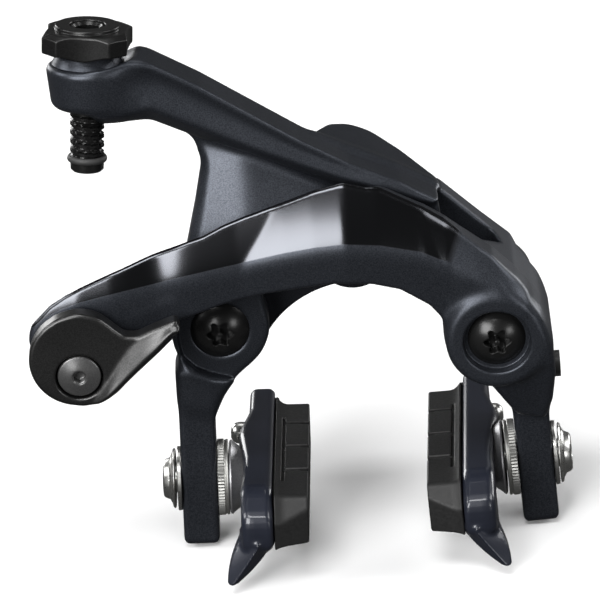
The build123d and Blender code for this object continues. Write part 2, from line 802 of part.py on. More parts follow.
def make_shoe_holder(name, side, toe, holder_end):
    turned = leg_plane(toe)
    plan = Plane(origin=turned.origin, x_dir=turned.x_dir, z_dir=turned.y_dir)
    holder_plan = [
        (holder_back, 11.4), (holder_back - 4, 10.4), (13, 9.3), (-2, dish_end), (holder_front + 4, 8.5),
        (holder_front + 0.6, 9.2), (holder_front, 10.4), (holder_front, holder_end),
        (holder_back, holder_end),
    ]
    middle_x, middle_z, length, height = pad_tongue(holder_back + 1)
    pocket = holder_end - pocket_depth
    boss_thick = 2.0
    wing_reach = 11.8
    wing_tip_reach = 5.9
    wing_drop = 7.2
    key_r = 1.0
    key_depth = 1.5
    with BuildPart() as holder:
        with BuildSketch(plan.offset(holder_low)):
            with BuildLine():
                Polyline(*[(depth, -reach) for depth, reach in holder_plan], close=True)
            make_face()
        extrude(amount=holder_high - holder_low)
        # rounded ends, seen from the side
        with BuildSketch(turned):
            with Locations(((holder_back + holder_front) / 2, (holder_low + holder_high) / 2)):
                RectangleRounded(holder_back - holder_front, holder_high - holder_low, holder_corner)
        extrude(amount=holder_end, mode=Mode.INTERSECT)
        # threaded boss
        with BuildSketch(turned.offset(dish_end)):
            Circle(holder_boss_r)
        extrude(amount=boss_thick)
        # wing under the front end
        with BuildSketch(plan.offset(holder_low + boss_thick)):
            with Locations((holder_front + 5.5, -wing_reach)):
                Rectangle(10, 6)
        with BuildSketch(plan.offset(holder_low - wing_drop)):
            with Locations((holder_front - 0.2, -wing_tip_reach)):
                Rectangle(0.9, 0.9)
        loft()
        # hole for the shoe bolt
        with BuildSketch(turned.offset(dish_start)):
            Circle(shoe_bolt_r + run_gap)
        extrude(amount=shoe_bolt_end + part_gap - dish_start, mode=Mode.SUBTRACT)
        # room for the washer's dished face
        with BuildSketch(turned.offset(dish_start)):
            Circle(dish_r)
        extrude(amount=dish_end - dish_start, mode=Mode.SUBTRACT)
        # pocket for the pad, open at the back
        with BuildSketch(turned.offset(pocket)):
            with Locations((middle_x, middle_z)):
                Rectangle(length, height)
        extrude(amount=2 * pocket_depth, mode=Mode.SUBTRACT)
        # set screw hole
        with BuildSketch(turned.offset(set_screw_end)):
            with Locations((set_screw_x, set_screw_z)):
                Circle(set_screw_r)
        extrude(amount=pocket - set_screw_end, mode=Mode.SUBTRACT)
        keep_side(side)
    save(holder, name + "_shoe_holder")

    with BuildPart() as screw:
        with BuildSketch(turned.offset(set_screw_end)):
            with Locations((set_screw_x, set_screw_z)):
                Circle(set_screw_r)
        extrude(amount=pocket - set_screw_end)
        with BuildSketch(turned.offset(set_screw_end)):
            with Locations((set_screw_x, set_screw_z)):
                RegularPolygon(key_r, 6)
        extrude(amount=key_depth, mode=Mode.SUBTRACT)
        keep_side(side)
    save(screw, name + "_pad_screw")


def make_brake_pad(name, side, toe, holder_end):
    turned = leg_plane(toe)
    middle_x, middle_z, length, height = pad_tongue(holder_back - 1)
    pad_front = holder_front + 2.0
    pad_back = holder_back - 6.0
    grooves = 3
    groove_gap = 11.5
    first_groove_in = 10.0    # from the pad's back end
    groove_depth = 5.0
    groove_low = 2.0          # the grooves stop above the pad's lower edge
    face = holder_end + pad_thick
    with BuildPart() as pad:
        with BuildSketch(turned.offset(holder_end - pocket_depth)):
            with Locations((middle_x, middle_z)):
                Rectangle(length, height)
        extrude(amount=pocket_depth)
        with BuildSketch(turned.offset(holder_end)):
            with Locations(((pad_back + pad_front) / 2, middle_z)):
                Rectangle(pad_back - pad_front, pad_high - pad_low)
        extrude(amount=pad_thick)
        # water grooves across the braking face
        with BuildSketch(turned.offset(face)):
            for place in range(grooves):
                with Locations((pad_back - first_groove_in - place * groove_gap, pad_high)):
                    Rectangle(1.0, 2 * (pad_high - pad_low - groove_low))
        extrude(amount=-groove_depth, mode=Mode.SUBTRACT)
        keep_side(side)
    save(pad, name + "_brake_pad")


make_bracket()
make_mounting_stud()
make_serrated_washer()
make_pivot_bolt("left_pivot_bolt", -pivot_x, stop_hub_front)
make_pivot_bolt("right_pivot_bolt", pivot_x, clamp_hub_front)
make_thrust_washers()
make_return_spring()
make_stop_arm()
make_stop_arm_pieces()
make_adjuster()
make_clamp_arm()
make_clamp_arm_pieces()
make_quick_release()
make_shoe("left", -1, left_toe_in, left_holder_end)
make_shoe("right", 1, right_toe_in, right_holder_end)
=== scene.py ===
import json
import math
import bmesh
import bpy
import numpy as np
from mathutils import Matrix, Vector


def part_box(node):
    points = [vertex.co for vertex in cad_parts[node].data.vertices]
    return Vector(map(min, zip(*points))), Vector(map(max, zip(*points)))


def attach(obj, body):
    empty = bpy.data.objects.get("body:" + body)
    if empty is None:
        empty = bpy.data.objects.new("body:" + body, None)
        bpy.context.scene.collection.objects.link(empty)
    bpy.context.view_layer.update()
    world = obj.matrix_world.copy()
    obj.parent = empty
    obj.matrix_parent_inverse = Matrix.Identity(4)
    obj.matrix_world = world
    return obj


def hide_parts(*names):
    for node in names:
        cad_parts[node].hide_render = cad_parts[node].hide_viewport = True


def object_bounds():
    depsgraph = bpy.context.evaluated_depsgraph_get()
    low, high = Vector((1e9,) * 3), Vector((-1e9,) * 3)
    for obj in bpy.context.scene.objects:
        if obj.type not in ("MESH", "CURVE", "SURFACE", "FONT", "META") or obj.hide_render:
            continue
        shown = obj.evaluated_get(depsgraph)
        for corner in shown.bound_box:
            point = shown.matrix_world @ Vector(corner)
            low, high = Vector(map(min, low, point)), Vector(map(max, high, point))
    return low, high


# The looks of a rim brake caliper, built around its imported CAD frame.
# Lengths are in millimetres in the row's frame and become metres where a mesh is made.

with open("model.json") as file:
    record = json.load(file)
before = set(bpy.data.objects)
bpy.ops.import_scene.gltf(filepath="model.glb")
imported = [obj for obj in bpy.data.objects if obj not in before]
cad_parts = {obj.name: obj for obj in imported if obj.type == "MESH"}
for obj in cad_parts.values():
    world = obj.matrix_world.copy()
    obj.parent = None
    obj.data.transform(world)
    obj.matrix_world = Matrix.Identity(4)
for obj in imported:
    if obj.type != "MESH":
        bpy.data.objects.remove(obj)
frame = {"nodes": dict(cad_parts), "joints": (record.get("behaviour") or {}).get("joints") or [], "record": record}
cad_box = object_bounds()
nodes = frame["nodes"]
MM = 0.001


def middle(node):
    """The middle of a node's box, in millimetres."""
    low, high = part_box(node)
    return np.array((low + high) / 2) / MM


def low_corner(node):
    return np.array(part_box(node)[0]) / MM


def high_corner(node):
    return np.array(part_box(node)[1]) / MM


# ---- places, read from the frame ----
def joint_named(name):
    return next(j for j in frame["joints"] if j["name"] == name)


LEFT_PIVOT = middle("left_pivot_bolt")
RIGHT_PIVOT = middle("right_pivot_bolt")
BOSS = np.array(joint_named("knob_turn")["pos_m"]) / MM
BOSS_AXIS = np.array(joint_named("knob_turn")["axis"])
LEVER_JOINT = np.array(joint_named("quick_release_swing")["pos_m"]) / MM
ANCHOR = middle("cable_anchor_bolt")
ROLLER = middle("sync_roller")


# ---- shapes as fields: the distance to a surface, negative inside it ----
class Space:
    """A grid of points, in millimetres, on which a shape's field is worked out.

    The grid may have a place of its own: an origin, and the directions of its x, y and z.
    """

    def __init__(self, low, high, step, origin=(0, 0, 0), axes=((1, 0, 0), (0, 1, 0), (0, 0, 1))):
        self.low = np.array(low, float)
        self.step = step
        self.origin = np.array(origin, float)
        self.axes = np.array(axes, float)
        counts = [int(math.ceil((b - a) / step)) + 1 for a, b in zip(low, high)]
        axes = [np.float32(a + step * np.arange(n)) for a, n in zip(low, counts)]
        self.x, self.y, self.z = np.meshgrid(*axes, indexing="ij", sparse=True)

    def along(self, origin, direction):
        """How far each point is along a line, and how far from it."""
        d = np.array(direction, float) / np.linalg.norm(direction)
        px, py, pz = self.x - origin[0], self.y - origin[1], self.z - origin[2]
        height = px * d[0] + py * d[1] + pz * d[2]
        reach = np.sqrt(np.maximum(px * px + py * py + pz * pz - height * height, 0))
        return height, reach


def round_corners(points, radius, steps=5):
    """An outline whose corners are replaced by short curves; radius is a number or one for each corner."""
    radii = radius if isinstance(radius, (list, tuple)) else [radius] * len(points)
    corners = np.array(points, float)
    out = []
    for i, (corner, r) in enumerate(zip(corners, radii)):
        before = corners[i - 1] - corner
        after = corners[(i + 1) % len(corners)] - corner
        room = 0.48 * min(np.linalg.norm(before), np.linalg.norm(after))
        cosine = before @ after / (np.linalg.norm(before) * np.linalg.norm(after))
        half = math.acos(max(-1.0, min(1.0, cosine))) / 2
        cut = min(r / max(math.tan(half), 1e-3), room)
        start = corner + before / np.linalg.norm(before) * cut
        end = corner + after / np.linalg.norm(after) * cut
        for t in np.linspace(0, 1, steps):
            out.append((1 - t) ** 2 * start + 2 * t * (1 - t) * corner + t * t * end)
    return [tuple(p) for p in out]


def outline(points, u, v):
    """Distance to a closed outline in a plane."""
    nearest = np.full(np.broadcast(u, v).shape, 1e6, np.float32)
    inside = np.zeros(nearest.shape, bool)
    for (ax, ay), (bx, by) in zip(points, points[1:] + points[:1]):
        ex, ey = bx - ax, by - ay
        length_squared = ex * ex + ey * ey
        if length_squared < 1e-12:
            continue
        t = np.clip(((u - ax) * ex + (v - ay) * ey) / length_squared, 0, 1)
        nearest = np.minimum(nearest, np.hypot(u - ax - t * ex, v - ay - t * ey))
        if ay != by:
            inside ^= ((ay > v) != (by > v)) & (u < ex * (v - ay) / ey + ax)
    return np.where(inside, -nearest, nearest).astype(np.float32)


def both(across, through, edge=0.0):
    """What lies in both of two fields, with the edge between them rounded."""
    a, b = across + edge, through + edge
    return np.minimum(np.maximum(a, b), 0) + np.hypot(np.maximum(a, 0), np.maximum(b, 0)) - edge


def melt(a, b, soft):
    """Two shapes joined, with a fillet about as wide as soft."""
    h = np.maximum(soft - np.abs(a - b), 0) / soft
    return np.minimum(a, b) - h * h * soft / 4


def carve(a, b, soft=0.3):
    """The first shape without the second."""
    return -melt(-a, b, soft)


def slab(flat, y, back, front, edge):
    """An outline pulled from its back to its front, which may vary over the outline."""
    return both(flat, np.maximum(y - back, front - y), edge)


def cone(space, origin, direction, radius_start, radius_end, start, end, edge=0.0):
    """A cut cone along a line, from one height to another."""
    height, reach = space.along(origin, direction)
    slope = (radius_end - radius_start) / (end - start)
    side = (reach - radius_start - slope * (height - start)) / math.hypot(1, slope)
    return both(side, np.maximum(start - height, height - end), edge)


def follow(points, x):
    """Height of a polyline, given left to right, over x."""
    xs, zs = zip(*points)
    return np.interp(x, xs, zs).astype(np.float32)


def blur(flat, width, step):
    """Softens a field on a plane, which rounds its creases."""
    n = int(math.ceil(3 * width / step))
    kernel = np.exp(-0.5 * (np.arange(-n, n + 1) * step / width) ** 2)
    kernel /= kernel.sum()
    out = flat
    for axis in (0, out.ndim - 1):
        padded = np.pad(out, [(n, n) if a == axis else (0, 0) for a in range(out.ndim)], mode="edge")
        total = np.zeros_like(out)
        for k, weight in enumerate(kernel):
            part = [slice(None)] * out.ndim
            part[axis] = slice(k, k + out.shape[axis])
            total += weight * padded[tuple(part)]
        out = total
    return out


def sample(field, places):
    """The field's value at places given in grid steps."""
    top = np.array(field.shape) - 2
    base = np.clip(np.floor(places).astype(int), 0, top)
    f = places - base
    total = 0
    for dx in (0, 1):
        for dy in (0, 1):
            for dz in (0, 1):
                weight = (
                    (f[:, 0] if dx else 1 - f[:, 0])
                    * (f[:, 1] if dy else 1 - f[:, 1])
                    * (f[:, 2] if dz else 1 - f[:, 2])
                )
                total = total + weight * field[base[:, 0] + dx, base[:, 1] + dy, base[:, 2] + dz]
    return total


def slope_at(field, places):
    """The field's unit gradient at places given in grid steps."""
    slope = np.empty_like(places)
    for axis in range(3):
        step = np.zeros(3)
        step[axis] = 0.5
        slope[:, axis] = sample(field, places + step) - sample(field, places - step)
    return slope / np.maximum(np.linalg.norm(slope, axis=1), 1e-9)[:, None]


def skin(name, space, field, settle=3):
    """A mesh of quads on the field's surface, with the field's own normals."""
    solid = field < 0
    nx, ny, nz = field.shape
    cells = (nx - 1, ny - 1, nz - 1)
    total = np.zeros(cells + (3,), np.float32)
    count = np.zeros(cells, np.float32)
    crossings = []
    for axis in range(3):
        here = [slice(None)] * 3
        there = [slice(None)] * 3
        here[axis], there[axis] = slice(None, -1), slice(1, None)
        here, there = tuple(here), tuple(there)
        crosses = solid[here] != solid[there]
        i, j, k = np.nonzero(crosses)
        a, b = field[here][i, j, k], field[there][i, j, k]
        spot = np.stack([i, j, k], 1).astype(np.float32)
        spot[:, axis] += a / (a - b)
        others = [d for d in range(3) if d != axis]
        keep = np.ones(len(i), bool)
        index = np.stack([i, j, k], 1)
        for d in others:
            keep &= (index[:, d] > 0) & (index[:, d] < field.shape[d] - 1)
        crossings.append((axis, index[keep], solid[here][i, j, k][keep]))
        for da in (0, -1):
            for db in (0, -1):
                cell = index.copy()
                cell[:, others[0]] += da
                cell[:, others[1]] += db
                good = np.all((cell >= 0) & (cell < cells), axis=1)
                flat = np.ravel_multi_index(cell[good].T, cells)
                for d in range(3):
                    total[..., d] += np.bincount(flat, spot[good][:, d], count.size).reshape(cells)
                count += np.bincount(flat, minlength=count.size).reshape(cells)
    used = count > 0
    number = np.full(cells, -1, int)
    number[used] = np.arange(used.sum())
    spots = (total[used] / count[used][:, None]).astype(float)
    quads = []
    for axis, index, starts_inside in crossings:
        others = [d for d in range(3) if d != axis]
        corners = []
        for da, db in ((-1, -1), (0, -1), (0, 0), (-1, 0)):
            cell = index.copy()
            cell[:, others[0]] += da
            cell[:, others[1]] += db
            corners.append(number[cell[:, 0], cell[:, 1], cell[:, 2]])
        ring = np.stack(corners, 1)
        flip = starts_inside if axis == 1 else ~starts_inside
        ring[flip] = ring[flip][:, ::-1]
        quads.append(ring)
    quads = np.concatenate(quads)
    quads = quads[(quads >= 0).all(1)]
    for _ in range(settle):
        pulled = np.zeros_like(spots)
        degree = np.zeros(len(spots))
        for c in range(4):
            np.add.at(pulled, quads[:, c], spots[quads[:, (c + 1) % 4]] + spots[quads[:, c - 1]])
            np.add.at(degree, quads[:, c], 2)
        moved = 0.5 * spots + 0.5 * pulled / np.maximum(degree, 1)[:, None]
        for _ in range(2):
            moved -= slope_at(field, moved) * (sample(field, moved) / space.step)[:, None]
        spots = moved
    normals = slope_at(field, spots) @ space.axes
    if np.linalg.det(space.axes) < 0:
        quads = quads[:, ::-1]
    mesh = bpy.data.meshes.new(name)
    mesh.from_pydata((space.origin + (space.low + spots * space.step) @ space.axes) * MM, [], quads)
    mesh.update()
    mesh.polygons.foreach_set("use_smooth", np.ones(len(mesh.polygons), bool))
    mesh.normals_split_custom_set_from_vertices(normals)
    piece = bpy.data.objects.new(name, mesh)
    bpy.context.scene.collection.objects.link(piece)
    return piece


def turned(name, origin, axis, profile, around=96, ripple=None):
    """A mesh turned about an axis from (height, radius) points; ripple adds to the radius.

    A profile that starts and ends at radius 0 is solid, and a closed one is a ring.
    """
    axis = Vector(axis).normalized()
    side = axis.orthogonal().normalized()
    other = axis.cross(side)
    closed = profile[0][1] > 0
    mesh = bmesh.new()
    rings = []
    for height, radius in profile:
        centre = Vector(origin) + axis * height
        if radius == 0:
            rings.append([mesh.verts.new(centre * MM)])
            continue
        ring = []
        for k in range(around):
            angle = 2 * math.pi * k / around
            r = radius + (ripple(height, angle) if ripple else 0)
            place = centre + side * (r * math.cos(angle)) + other * (r * math.sin(angle))
            ring.append(mesh.verts.new(place * MM))
        rings.append(ring)
    pairs = list(zip(rings, rings[1:])) + ([(rings[-1], rings[0])] if closed else [])
    for lower, upper in pairs:
        for k in range(around):
            after = (k + 1) % around
            corners = [lower[k % len(lower)], lower[after % len(lower)]]
            corners += [upper[after % len(upper)], upper[k % len(upper)]]
            mesh.faces.new(list(dict.fromkeys(corners)))
    bmesh.ops.recalc_face_normals(mesh, faces=mesh.faces)
    data = bpy.data.meshes.new(name)
    mesh.to_mesh(data)
    mesh.free()
    data.polygons.foreach_set("use_smooth", np.ones(len(data.polygons), bool))
    data.set_sharp_from_angle(angle=math.radians(35))
    piece = bpy.data.objects.new(name, data)
    bpy.context.scene.collection.objects.link(piece)
    return piece


# ---- materials ----
def new_material(name):
    """A material, its node tree and its shader."""
    material = bpy.data.materials.new(name)
    material.use_nodes = True
    tree = material.node_tree
    return material, tree, tree.nodes["Principled BSDF"]


def add_noise(tree, scale, detail=2.0, roughness=0.5):
    """A noise fixed to the piece; scale is in cells for each metre."""
    coords = tree.nodes.new("ShaderNodeTexCoord")
    noise = tree.nodes.new("ShaderNodeTexNoise")
    noise.inputs["Scale"].default_value = scale
    noise.inputs["Detail"].default_value = detail
    noise.inputs["Roughness"].default_value = roughness
    tree.links.new(coords.outputs["Object"], noise.inputs["Vector"])
    return noise


def ramp(tree, source, low, high, from_low=0.35, from_high=0.65):
    """Turns a noise into a number between low and high."""
    spread = tree.nodes.new("ShaderNodeMapRange")
    spread.inputs["From Min"].default_value = from_low
    spread.inputs["From Max"].default_value = from_high
    spread.inputs["To Min"].default_value = low
    spread.inputs["To Max"].default_value = high
    tree.links.new(source, spread.inputs["Value"])
    return spread.outputs["Result"]


def add_bump(tree, shader, height, distance):
    bump = tree.nodes.new("ShaderNodeBump")
    bump.inputs["Distance"].default_value = distance
    bump.inputs["Strength"].default_value = 1.0
    tree.links.new(height, bump.inputs["Height"])
    tree.links.new(bump.outputs["Normal"], shader.inputs["Normal"])


def mix_colors(tree, factor, first, second):
    mix = tree.nodes.new("ShaderNodeMix")
    mix.data_type = "RGBA"
    mix.inputs[6].default_value = (*first, 1)
    mix.inputs[7].default_value = (*second, 1)
    tree.links.new(factor, mix.inputs[0])
    return mix.outputs[2]


def vary_color(tree, shader, noise, first, second):
    """The base colour wanders between two colours."""
    share = ramp(tree, noise.outputs["Fac"], 0, 1)
    tree.links.new(mix_colors(tree, share, first, second), shader.inputs["Base Color"])


def vary_roughness(tree, shader, noise, low, high):
    tree.links.new(ramp(tree, noise.outputs["Fac"], low, high), shader.inputs["Roughness"])


FINE_GRAIN = 4200.0
GRAIN_HEIGHT = 0.00001
SATIN_METALLIC = 0.7


def satin_metal(name, dark, light, roughness, metallic=SATIN_METALLIC):
    """Bead-blasted and anodised metal: a fine grain that sparkles a little."""
    material, tree, shader = new_material(name)
    fine = add_noise(tree, FINE_GRAIN)
    broad = add_noise(tree, 60.0, 3.0)
    vary_color(tree, shader, fine, dark, light)
    vary_roughness(tree, shader, broad, roughness - 0.03, roughness + 0.03)
    shader.inputs["Metallic"].default_value = metallic
    add_bump(tree, shader, fine.outputs["Fac"], GRAIN_HEIGHT)
    return material


def gloss(name, color, roughness, metallic, coat):
    """A smooth dark surface with a faint unevenness, under a clear coat where coat is above zero."""
    material, tree, shader = new_material(name)
    broad = add_noise(tree, 90.0, 2.0)
    lighter = tuple(min(1.0, c * 1.35) for c in color)
    vary_color(tree, shader, broad, color, lighter)
    shader.inputs["Roughness"].default_value = roughness
    shader.inputs["Metallic"].default_value = metallic
    shader.inputs["Coat Weight"].default_value = coat
    shader.inputs["Coat Roughness"].default_value = 0.03
    return material


def turned_steel(name, color, roughness):
    """Bright steel with fine marks from machining."""
    material, tree, shader = new_material(name)
    fine = add_noise(tree, 900.0, 4.0, 0.7)
    vary_color(tree, shader, fine, color, tuple(c * 0.86 for c in color))
    vary_roughness(tree, shader, fine, roughness - 0.06, roughness + 0.08)
    shader.inputs["Metallic"].default_value = 1.0
    add_bump(tree, shader, fine.outputs["Fac"], 0.000008)
    return material


def rubber(name, color, roughness, specular=0.5):
    """Moulded rubber or nylon with a fine, slightly uneven grain."""
    material, tree, shader = new_material(name)
    shader.inputs["Specular IOR Level"].default_value = specular
    fine = add_noise(tree, 1800.0, 3.0, 0.7)
    lighter = tuple(c * 1.3 for c in color)
    vary_color(tree, shader, fine, color, lighter)
    vary_roughness(tree, shader, fine, roughness - 0.05, roughness + 0.1)
    add_bump(tree, shader, fine.outputs["Fac"], 0.00002)
    return material


ARM_DARK = (0.024, 0.027, 0.034)
ARM_LIGHT = (0.050, 0.055, 0.066)
ARM_ROUGHNESS = 0.37
LACQUER_COLOR = (0.060, 0.062, 0.068)
LACQUER_ROUGHNESS = 0.19
LACQUER_FADE = 0.12


def lacquered_arm(name):
    """The arm's satin finish, with a polished black band where the mesh's lacquer layer is above zero."""
    material, tree, shader = new_material(name)
    fine = add_noise(tree, FINE_GRAIN)
    layer = tree.nodes.new("ShaderNodeAttribute")
    layer.attribute_name = "lacquer"
    mask = ramp(tree, layer.outputs["Fac"], 0, 1, -LACQUER_FADE, LACQUER_FADE)
    satin = mix_colors(tree, ramp(tree, fine.outputs["Fac"], 0, 1), ARM_DARK, ARM_LIGHT)
    color = tree.nodes.new("ShaderNodeMix")
    color.data_type = "RGBA"
    tree.links.new(mask, color.inputs[0])
    tree.links.new(satin, color.inputs[6])
    color.inputs[7].default_value = (*LACQUER_COLOR, 1)
    tree.links.new(color.outputs[2], shader.inputs["Base Color"])
    tree.links.new(ramp(tree, mask, ARM_ROUGHNESS, LACQUER_ROUGHNESS, 0, 1), shader.inputs["Roughness"])
    tree.links.new(ramp(tree, mask, SATIN_METALLIC, 1.0, 0, 1), shader.inputs["Metallic"])
    grain = tree.nodes.new("ShaderNodeMath")
    grain.operation = "MULTIPLY"
    tree.links.new(fine.outputs["Fac"], grain.inputs[0])
    tree.links.new(ramp(tree, mask, 1.0, 0.0, 0, 1), grain.inputs[1])
    add_bump(tree, shader, grain.outputs["Value"], GRAIN_HEIGHT)
    return material


ARM_FINISH = satin_metal("arm_finish", ARM_DARK, ARM_LIGHT, ARM_ROUGHNESS)
DARK_FINISH = satin_metal("bracket_finish", (0.012, 0.013, 0.017), (0.022, 0.024, 0.030), 0.5)
LEVER_FINISH = satin_metal("dark_metal", (0.045, 0.045, 0.045), (0.070, 0.070, 0.070), 0.33, metallic=0.9)
BLACK_GLOSS = gloss("black_steel", (0.010, 0.010, 0.010), 0.26, 0.3, 0.0)
SHOE_PAINT = gloss("shoe_paint", (0.012, 0.014, 0.022), 0.32, 0.2, 0.4)
DISH_METAL = satin_metal("dished_steel", (0.26, 0.26, 0.27), (0.36, 0.36, 0.37), 0.42, metallic=0.8)
STEEL = turned_steel("steel", (0.60, 0.60, 0.58), 0.30)
BLASTED_STEEL = turned_steel("blasted_steel", (0.50, 0.50, 0.48), 0.48)
SPRING_STEEL = turned_steel("spring_steel", (0.42, 0.42, 0.42), 0.32)
BRONZE = turned_steel("bush_bronze", (0.50, 0.36, 0.18), 0.35)
NYLON = rubber("nylon", (0.020, 0.020, 0.020), 0.45)
RING_RUBBER = rubber("ring_rubber", (0.020, 0.020, 0.020), 0.55)
PAD_RUBBER = rubber("pad_rubber", (0.008, 0.008, 0.008), 0.50, 0.35)
LACQUERED_ARM = lacquered_arm("lacquered_arm")
KNOB_FINISH = satin_metal("adjuster_finish", (0.014, 0.014, 0.014), (0.026, 0.026, 0.026), 0.28)
ANCHOR_FINISH = satin_metal("anchor_finish", (0.10, 0.10, 0.10), (0.14, 0.14, 0.14), 0.30)

FINISHES = {
    "arm_finish": ARM_FINISH,
    "bracket_finish": DARK_FINISH,
    "dark_metal": LEVER_FINISH,
    "black_steel": BLACK_GLOSS,
    "shoe_paint": SHOE_PAINT,
    "steel": STEEL,
    "spring_steel": SPRING_STEEL,
    "bush_bronze": BRONZE,
    "nylon": NYLON,
    "ring_rubber": RING_RUBBER,
    "pad_rubber": PAD_RUBBER,
}


def finish_cad_nodes():
    """Every CAD node gets the material of its slot in the record."""
    for part in frame["record"]["subparts"]:
        node = nodes[part["node"]]
        node.data.materials.clear()
        node.data.materials.append(FINISHES[part["material_slot"]])
        for polygon in node.data.polygons:
            polygon.material_index = 0


def finish_piece(piece, material, body, slot, *replaced):
    """Gives a new piece its material and its body, and hides the CAD nodes it stands for. The slot is not used."""
    piece.data.materials.clear()
    piece.data.materials.append(material)
    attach(piece, body)
    if replaced:
        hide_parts(*replaced)


# ---- camera, floor and light ----
def set_camera():
    """A long lens that looks 24 degrees down on the caliper's front."""
    distance = 1200.0
    right = Vector((0.99745, -0.01380, -0.07009))
    up = Vector((0.06963, 0.40682, 0.91085))
    towards = right.cross(up)
    target = Vector((-11.85, -4.13, -8.81))
    data = bpy.data.cameras.new("camera")
    data.lens = 338.4
    data.sensor_width = 36
    data.clip_end = 20
    camera = bpy.data.objects.new("camera", data)
    place = (target + towards * distance) * MM
    camera.matrix_world = Matrix(
        [(right[i], up[i], towards[i], place[i]) for i in range(3)] + [(0, 0, 0, 1)]
    )
    bpy.context.scene.collection.objects.link(camera)
    bpy.context.scene.camera = camera


def add_light(name, azimuth, elevation, width, height, radiance, distance=1.8):
    """A softbox that faces the caliper; azimuth 0 is straight in front of it and 90 is on the right."""
    data = bpy.data.lights.new(name, "AREA")
    data.shape = "RECTANGLE"
    data.size = width
    data.size_y = height
    data.energy = radiance * math.pi * width * height
    light = bpy.data.objects.new(name, data)
    turn, tilt = math.radians(azimuth), math.radians(elevation)
    direction = Vector((math.sin(turn) * math.cos(tilt), -math.cos(turn) * math.cos(tilt), math.sin(tilt)))
    light.location = direction * distance
    light.rotation_euler = direction.to_track_quat("Z", "Y").to_euler()
    bpy.context.scene.collection.objects.link(light)


def make_floor():
    """A plain pale floor just under the caliper, in metres."""
    gap = 0.0005
    half_side = 0.95
    height = cad_box[0][2] - gap
    corners = [(-1, -1), (1, -1), (1, 1), (-1, 1)]
    mesh = bpy.data.meshes.new("floor")
    mesh.from_pydata([(half_side * x, half_side * y, height) for x, y in corners], [], [(0, 1, 2, 3)])
    floor = bpy.data.objects.new("floor", mesh)
    material, _, shader = new_material("floor")
    shader.inputs["Base Color"].default_value = (0.9, 0.9, 0.9, 1)
    shader.inputs["Roughness"].default_value = 0.9
    mesh.materials.append(material)
    bpy.context.scene.collection.objects.link(floor)
    floor.visible_diffuse = False
    floor.visible_glossy = False


def make_world():
    """White where the camera sees it, and dim as a light. Colours are shown as they are."""
    world = bpy.data.worlds.new("world")
    world.use_nodes = True
    tree = world.node_tree
    dim = tree.nodes["Background"]
    dim.inputs["Color"].default_value = (1, 1, 1, 1)
    dim.inputs["Strength"].default_value = 0.07
    white = tree.nodes.new("ShaderNodeBackground")
    white.inputs["Color"].default_value = (1, 1, 1, 1)
    seen = tree.nodes.new("ShaderNodeLightPath")
    either = tree.nodes.new("ShaderNodeMixShader")
    tree.links.new(seen.outputs["Is Camera Ray"], either.inputs["Fac"])
    tree.links.new(dim.outputs["Background"], either.inputs[1])
    tree.links.new(white.outputs["Background"], either.inputs[2])
    tree.links.new(either.outputs["Shader"], tree.nodes["World Output"].inputs["Surface"])
    bpy.context.scene.world = world
    bpy.context.scene.view_settings.view_transform = "Standard"


def make_lights():
    """Softboxes in front, above and on both sides, and weaker ones behind."""
    add_light("overhead", -20, 62, 1.0, 0.6, 11)
    add_light("left_front", -30, 21, 0.95, 0.95, 12)
    add_light("right_front", 42, 8, 0.5, 0.5, 7)
    add_light("behind", 180, 61, 1.2, 0.7, 2.2, 2.0)
    add_light("left_side", -88, 34, 0.8, 0.7, 8)
    add_light("right_side", 88, 34, 0.8, 0.7, 6)
    add_light("left_back", -145, 10, 0.8, 0.6, 7)
    add_light("right_back", 130, 8, 0.7, 0.6, 7)


# ---- the cable-stop arm ----
LEG_LEAN = math.radians(2.2)
LEG_MIDDLE = np.array((35.8, -16.5, -43.0))  # of the right leg's slot; the left leg mirrors it
ARM_GRID = 0.45  # the step of both arms' grids
PIVOT_BORE_RADIUS = 5.5
BARREL_HOLE_RADIUS = 3.66


def around_axis(s, place):
    """How far each point is from an axis along Y through a place."""
    return np.hypot(s.x - place[0], s.z - place[2])


def leg_field(s, side):
    """The leg below either pivot, with its slot; side is -1 on the left and 1 on the right."""
    half_thick, half_deep, below, above = 3.8, 6.0, 13.3, 28.0
    slot_travel, slot_radius = 5.7, 3.5
    x = s.x * side - LEG_MIDDLE[0]
    z = s.z - LEG_MIDDLE[2]
    depth = s.y - LEG_MIDDLE[1]
    up = x * -math.sin(LEG_LEAN) + z * math.cos(LEG_LEAN)
    across = x * math.cos(LEG_LEAN) + z * math.sin(LEG_LEAN)
    profile = both(np.abs(across) - half_thick, np.abs(depth) - half_deep, 1.1)
    leg = both(profile, np.maximum(-below - up, up - above), 1.6)
    slot = np.hypot(depth, np.maximum(np.abs(up) - slot_travel, 0)) - slot_radius
    return carve(leg, np.maximum(slot, np.abs(across) - 2 * half_thick), 0.5)


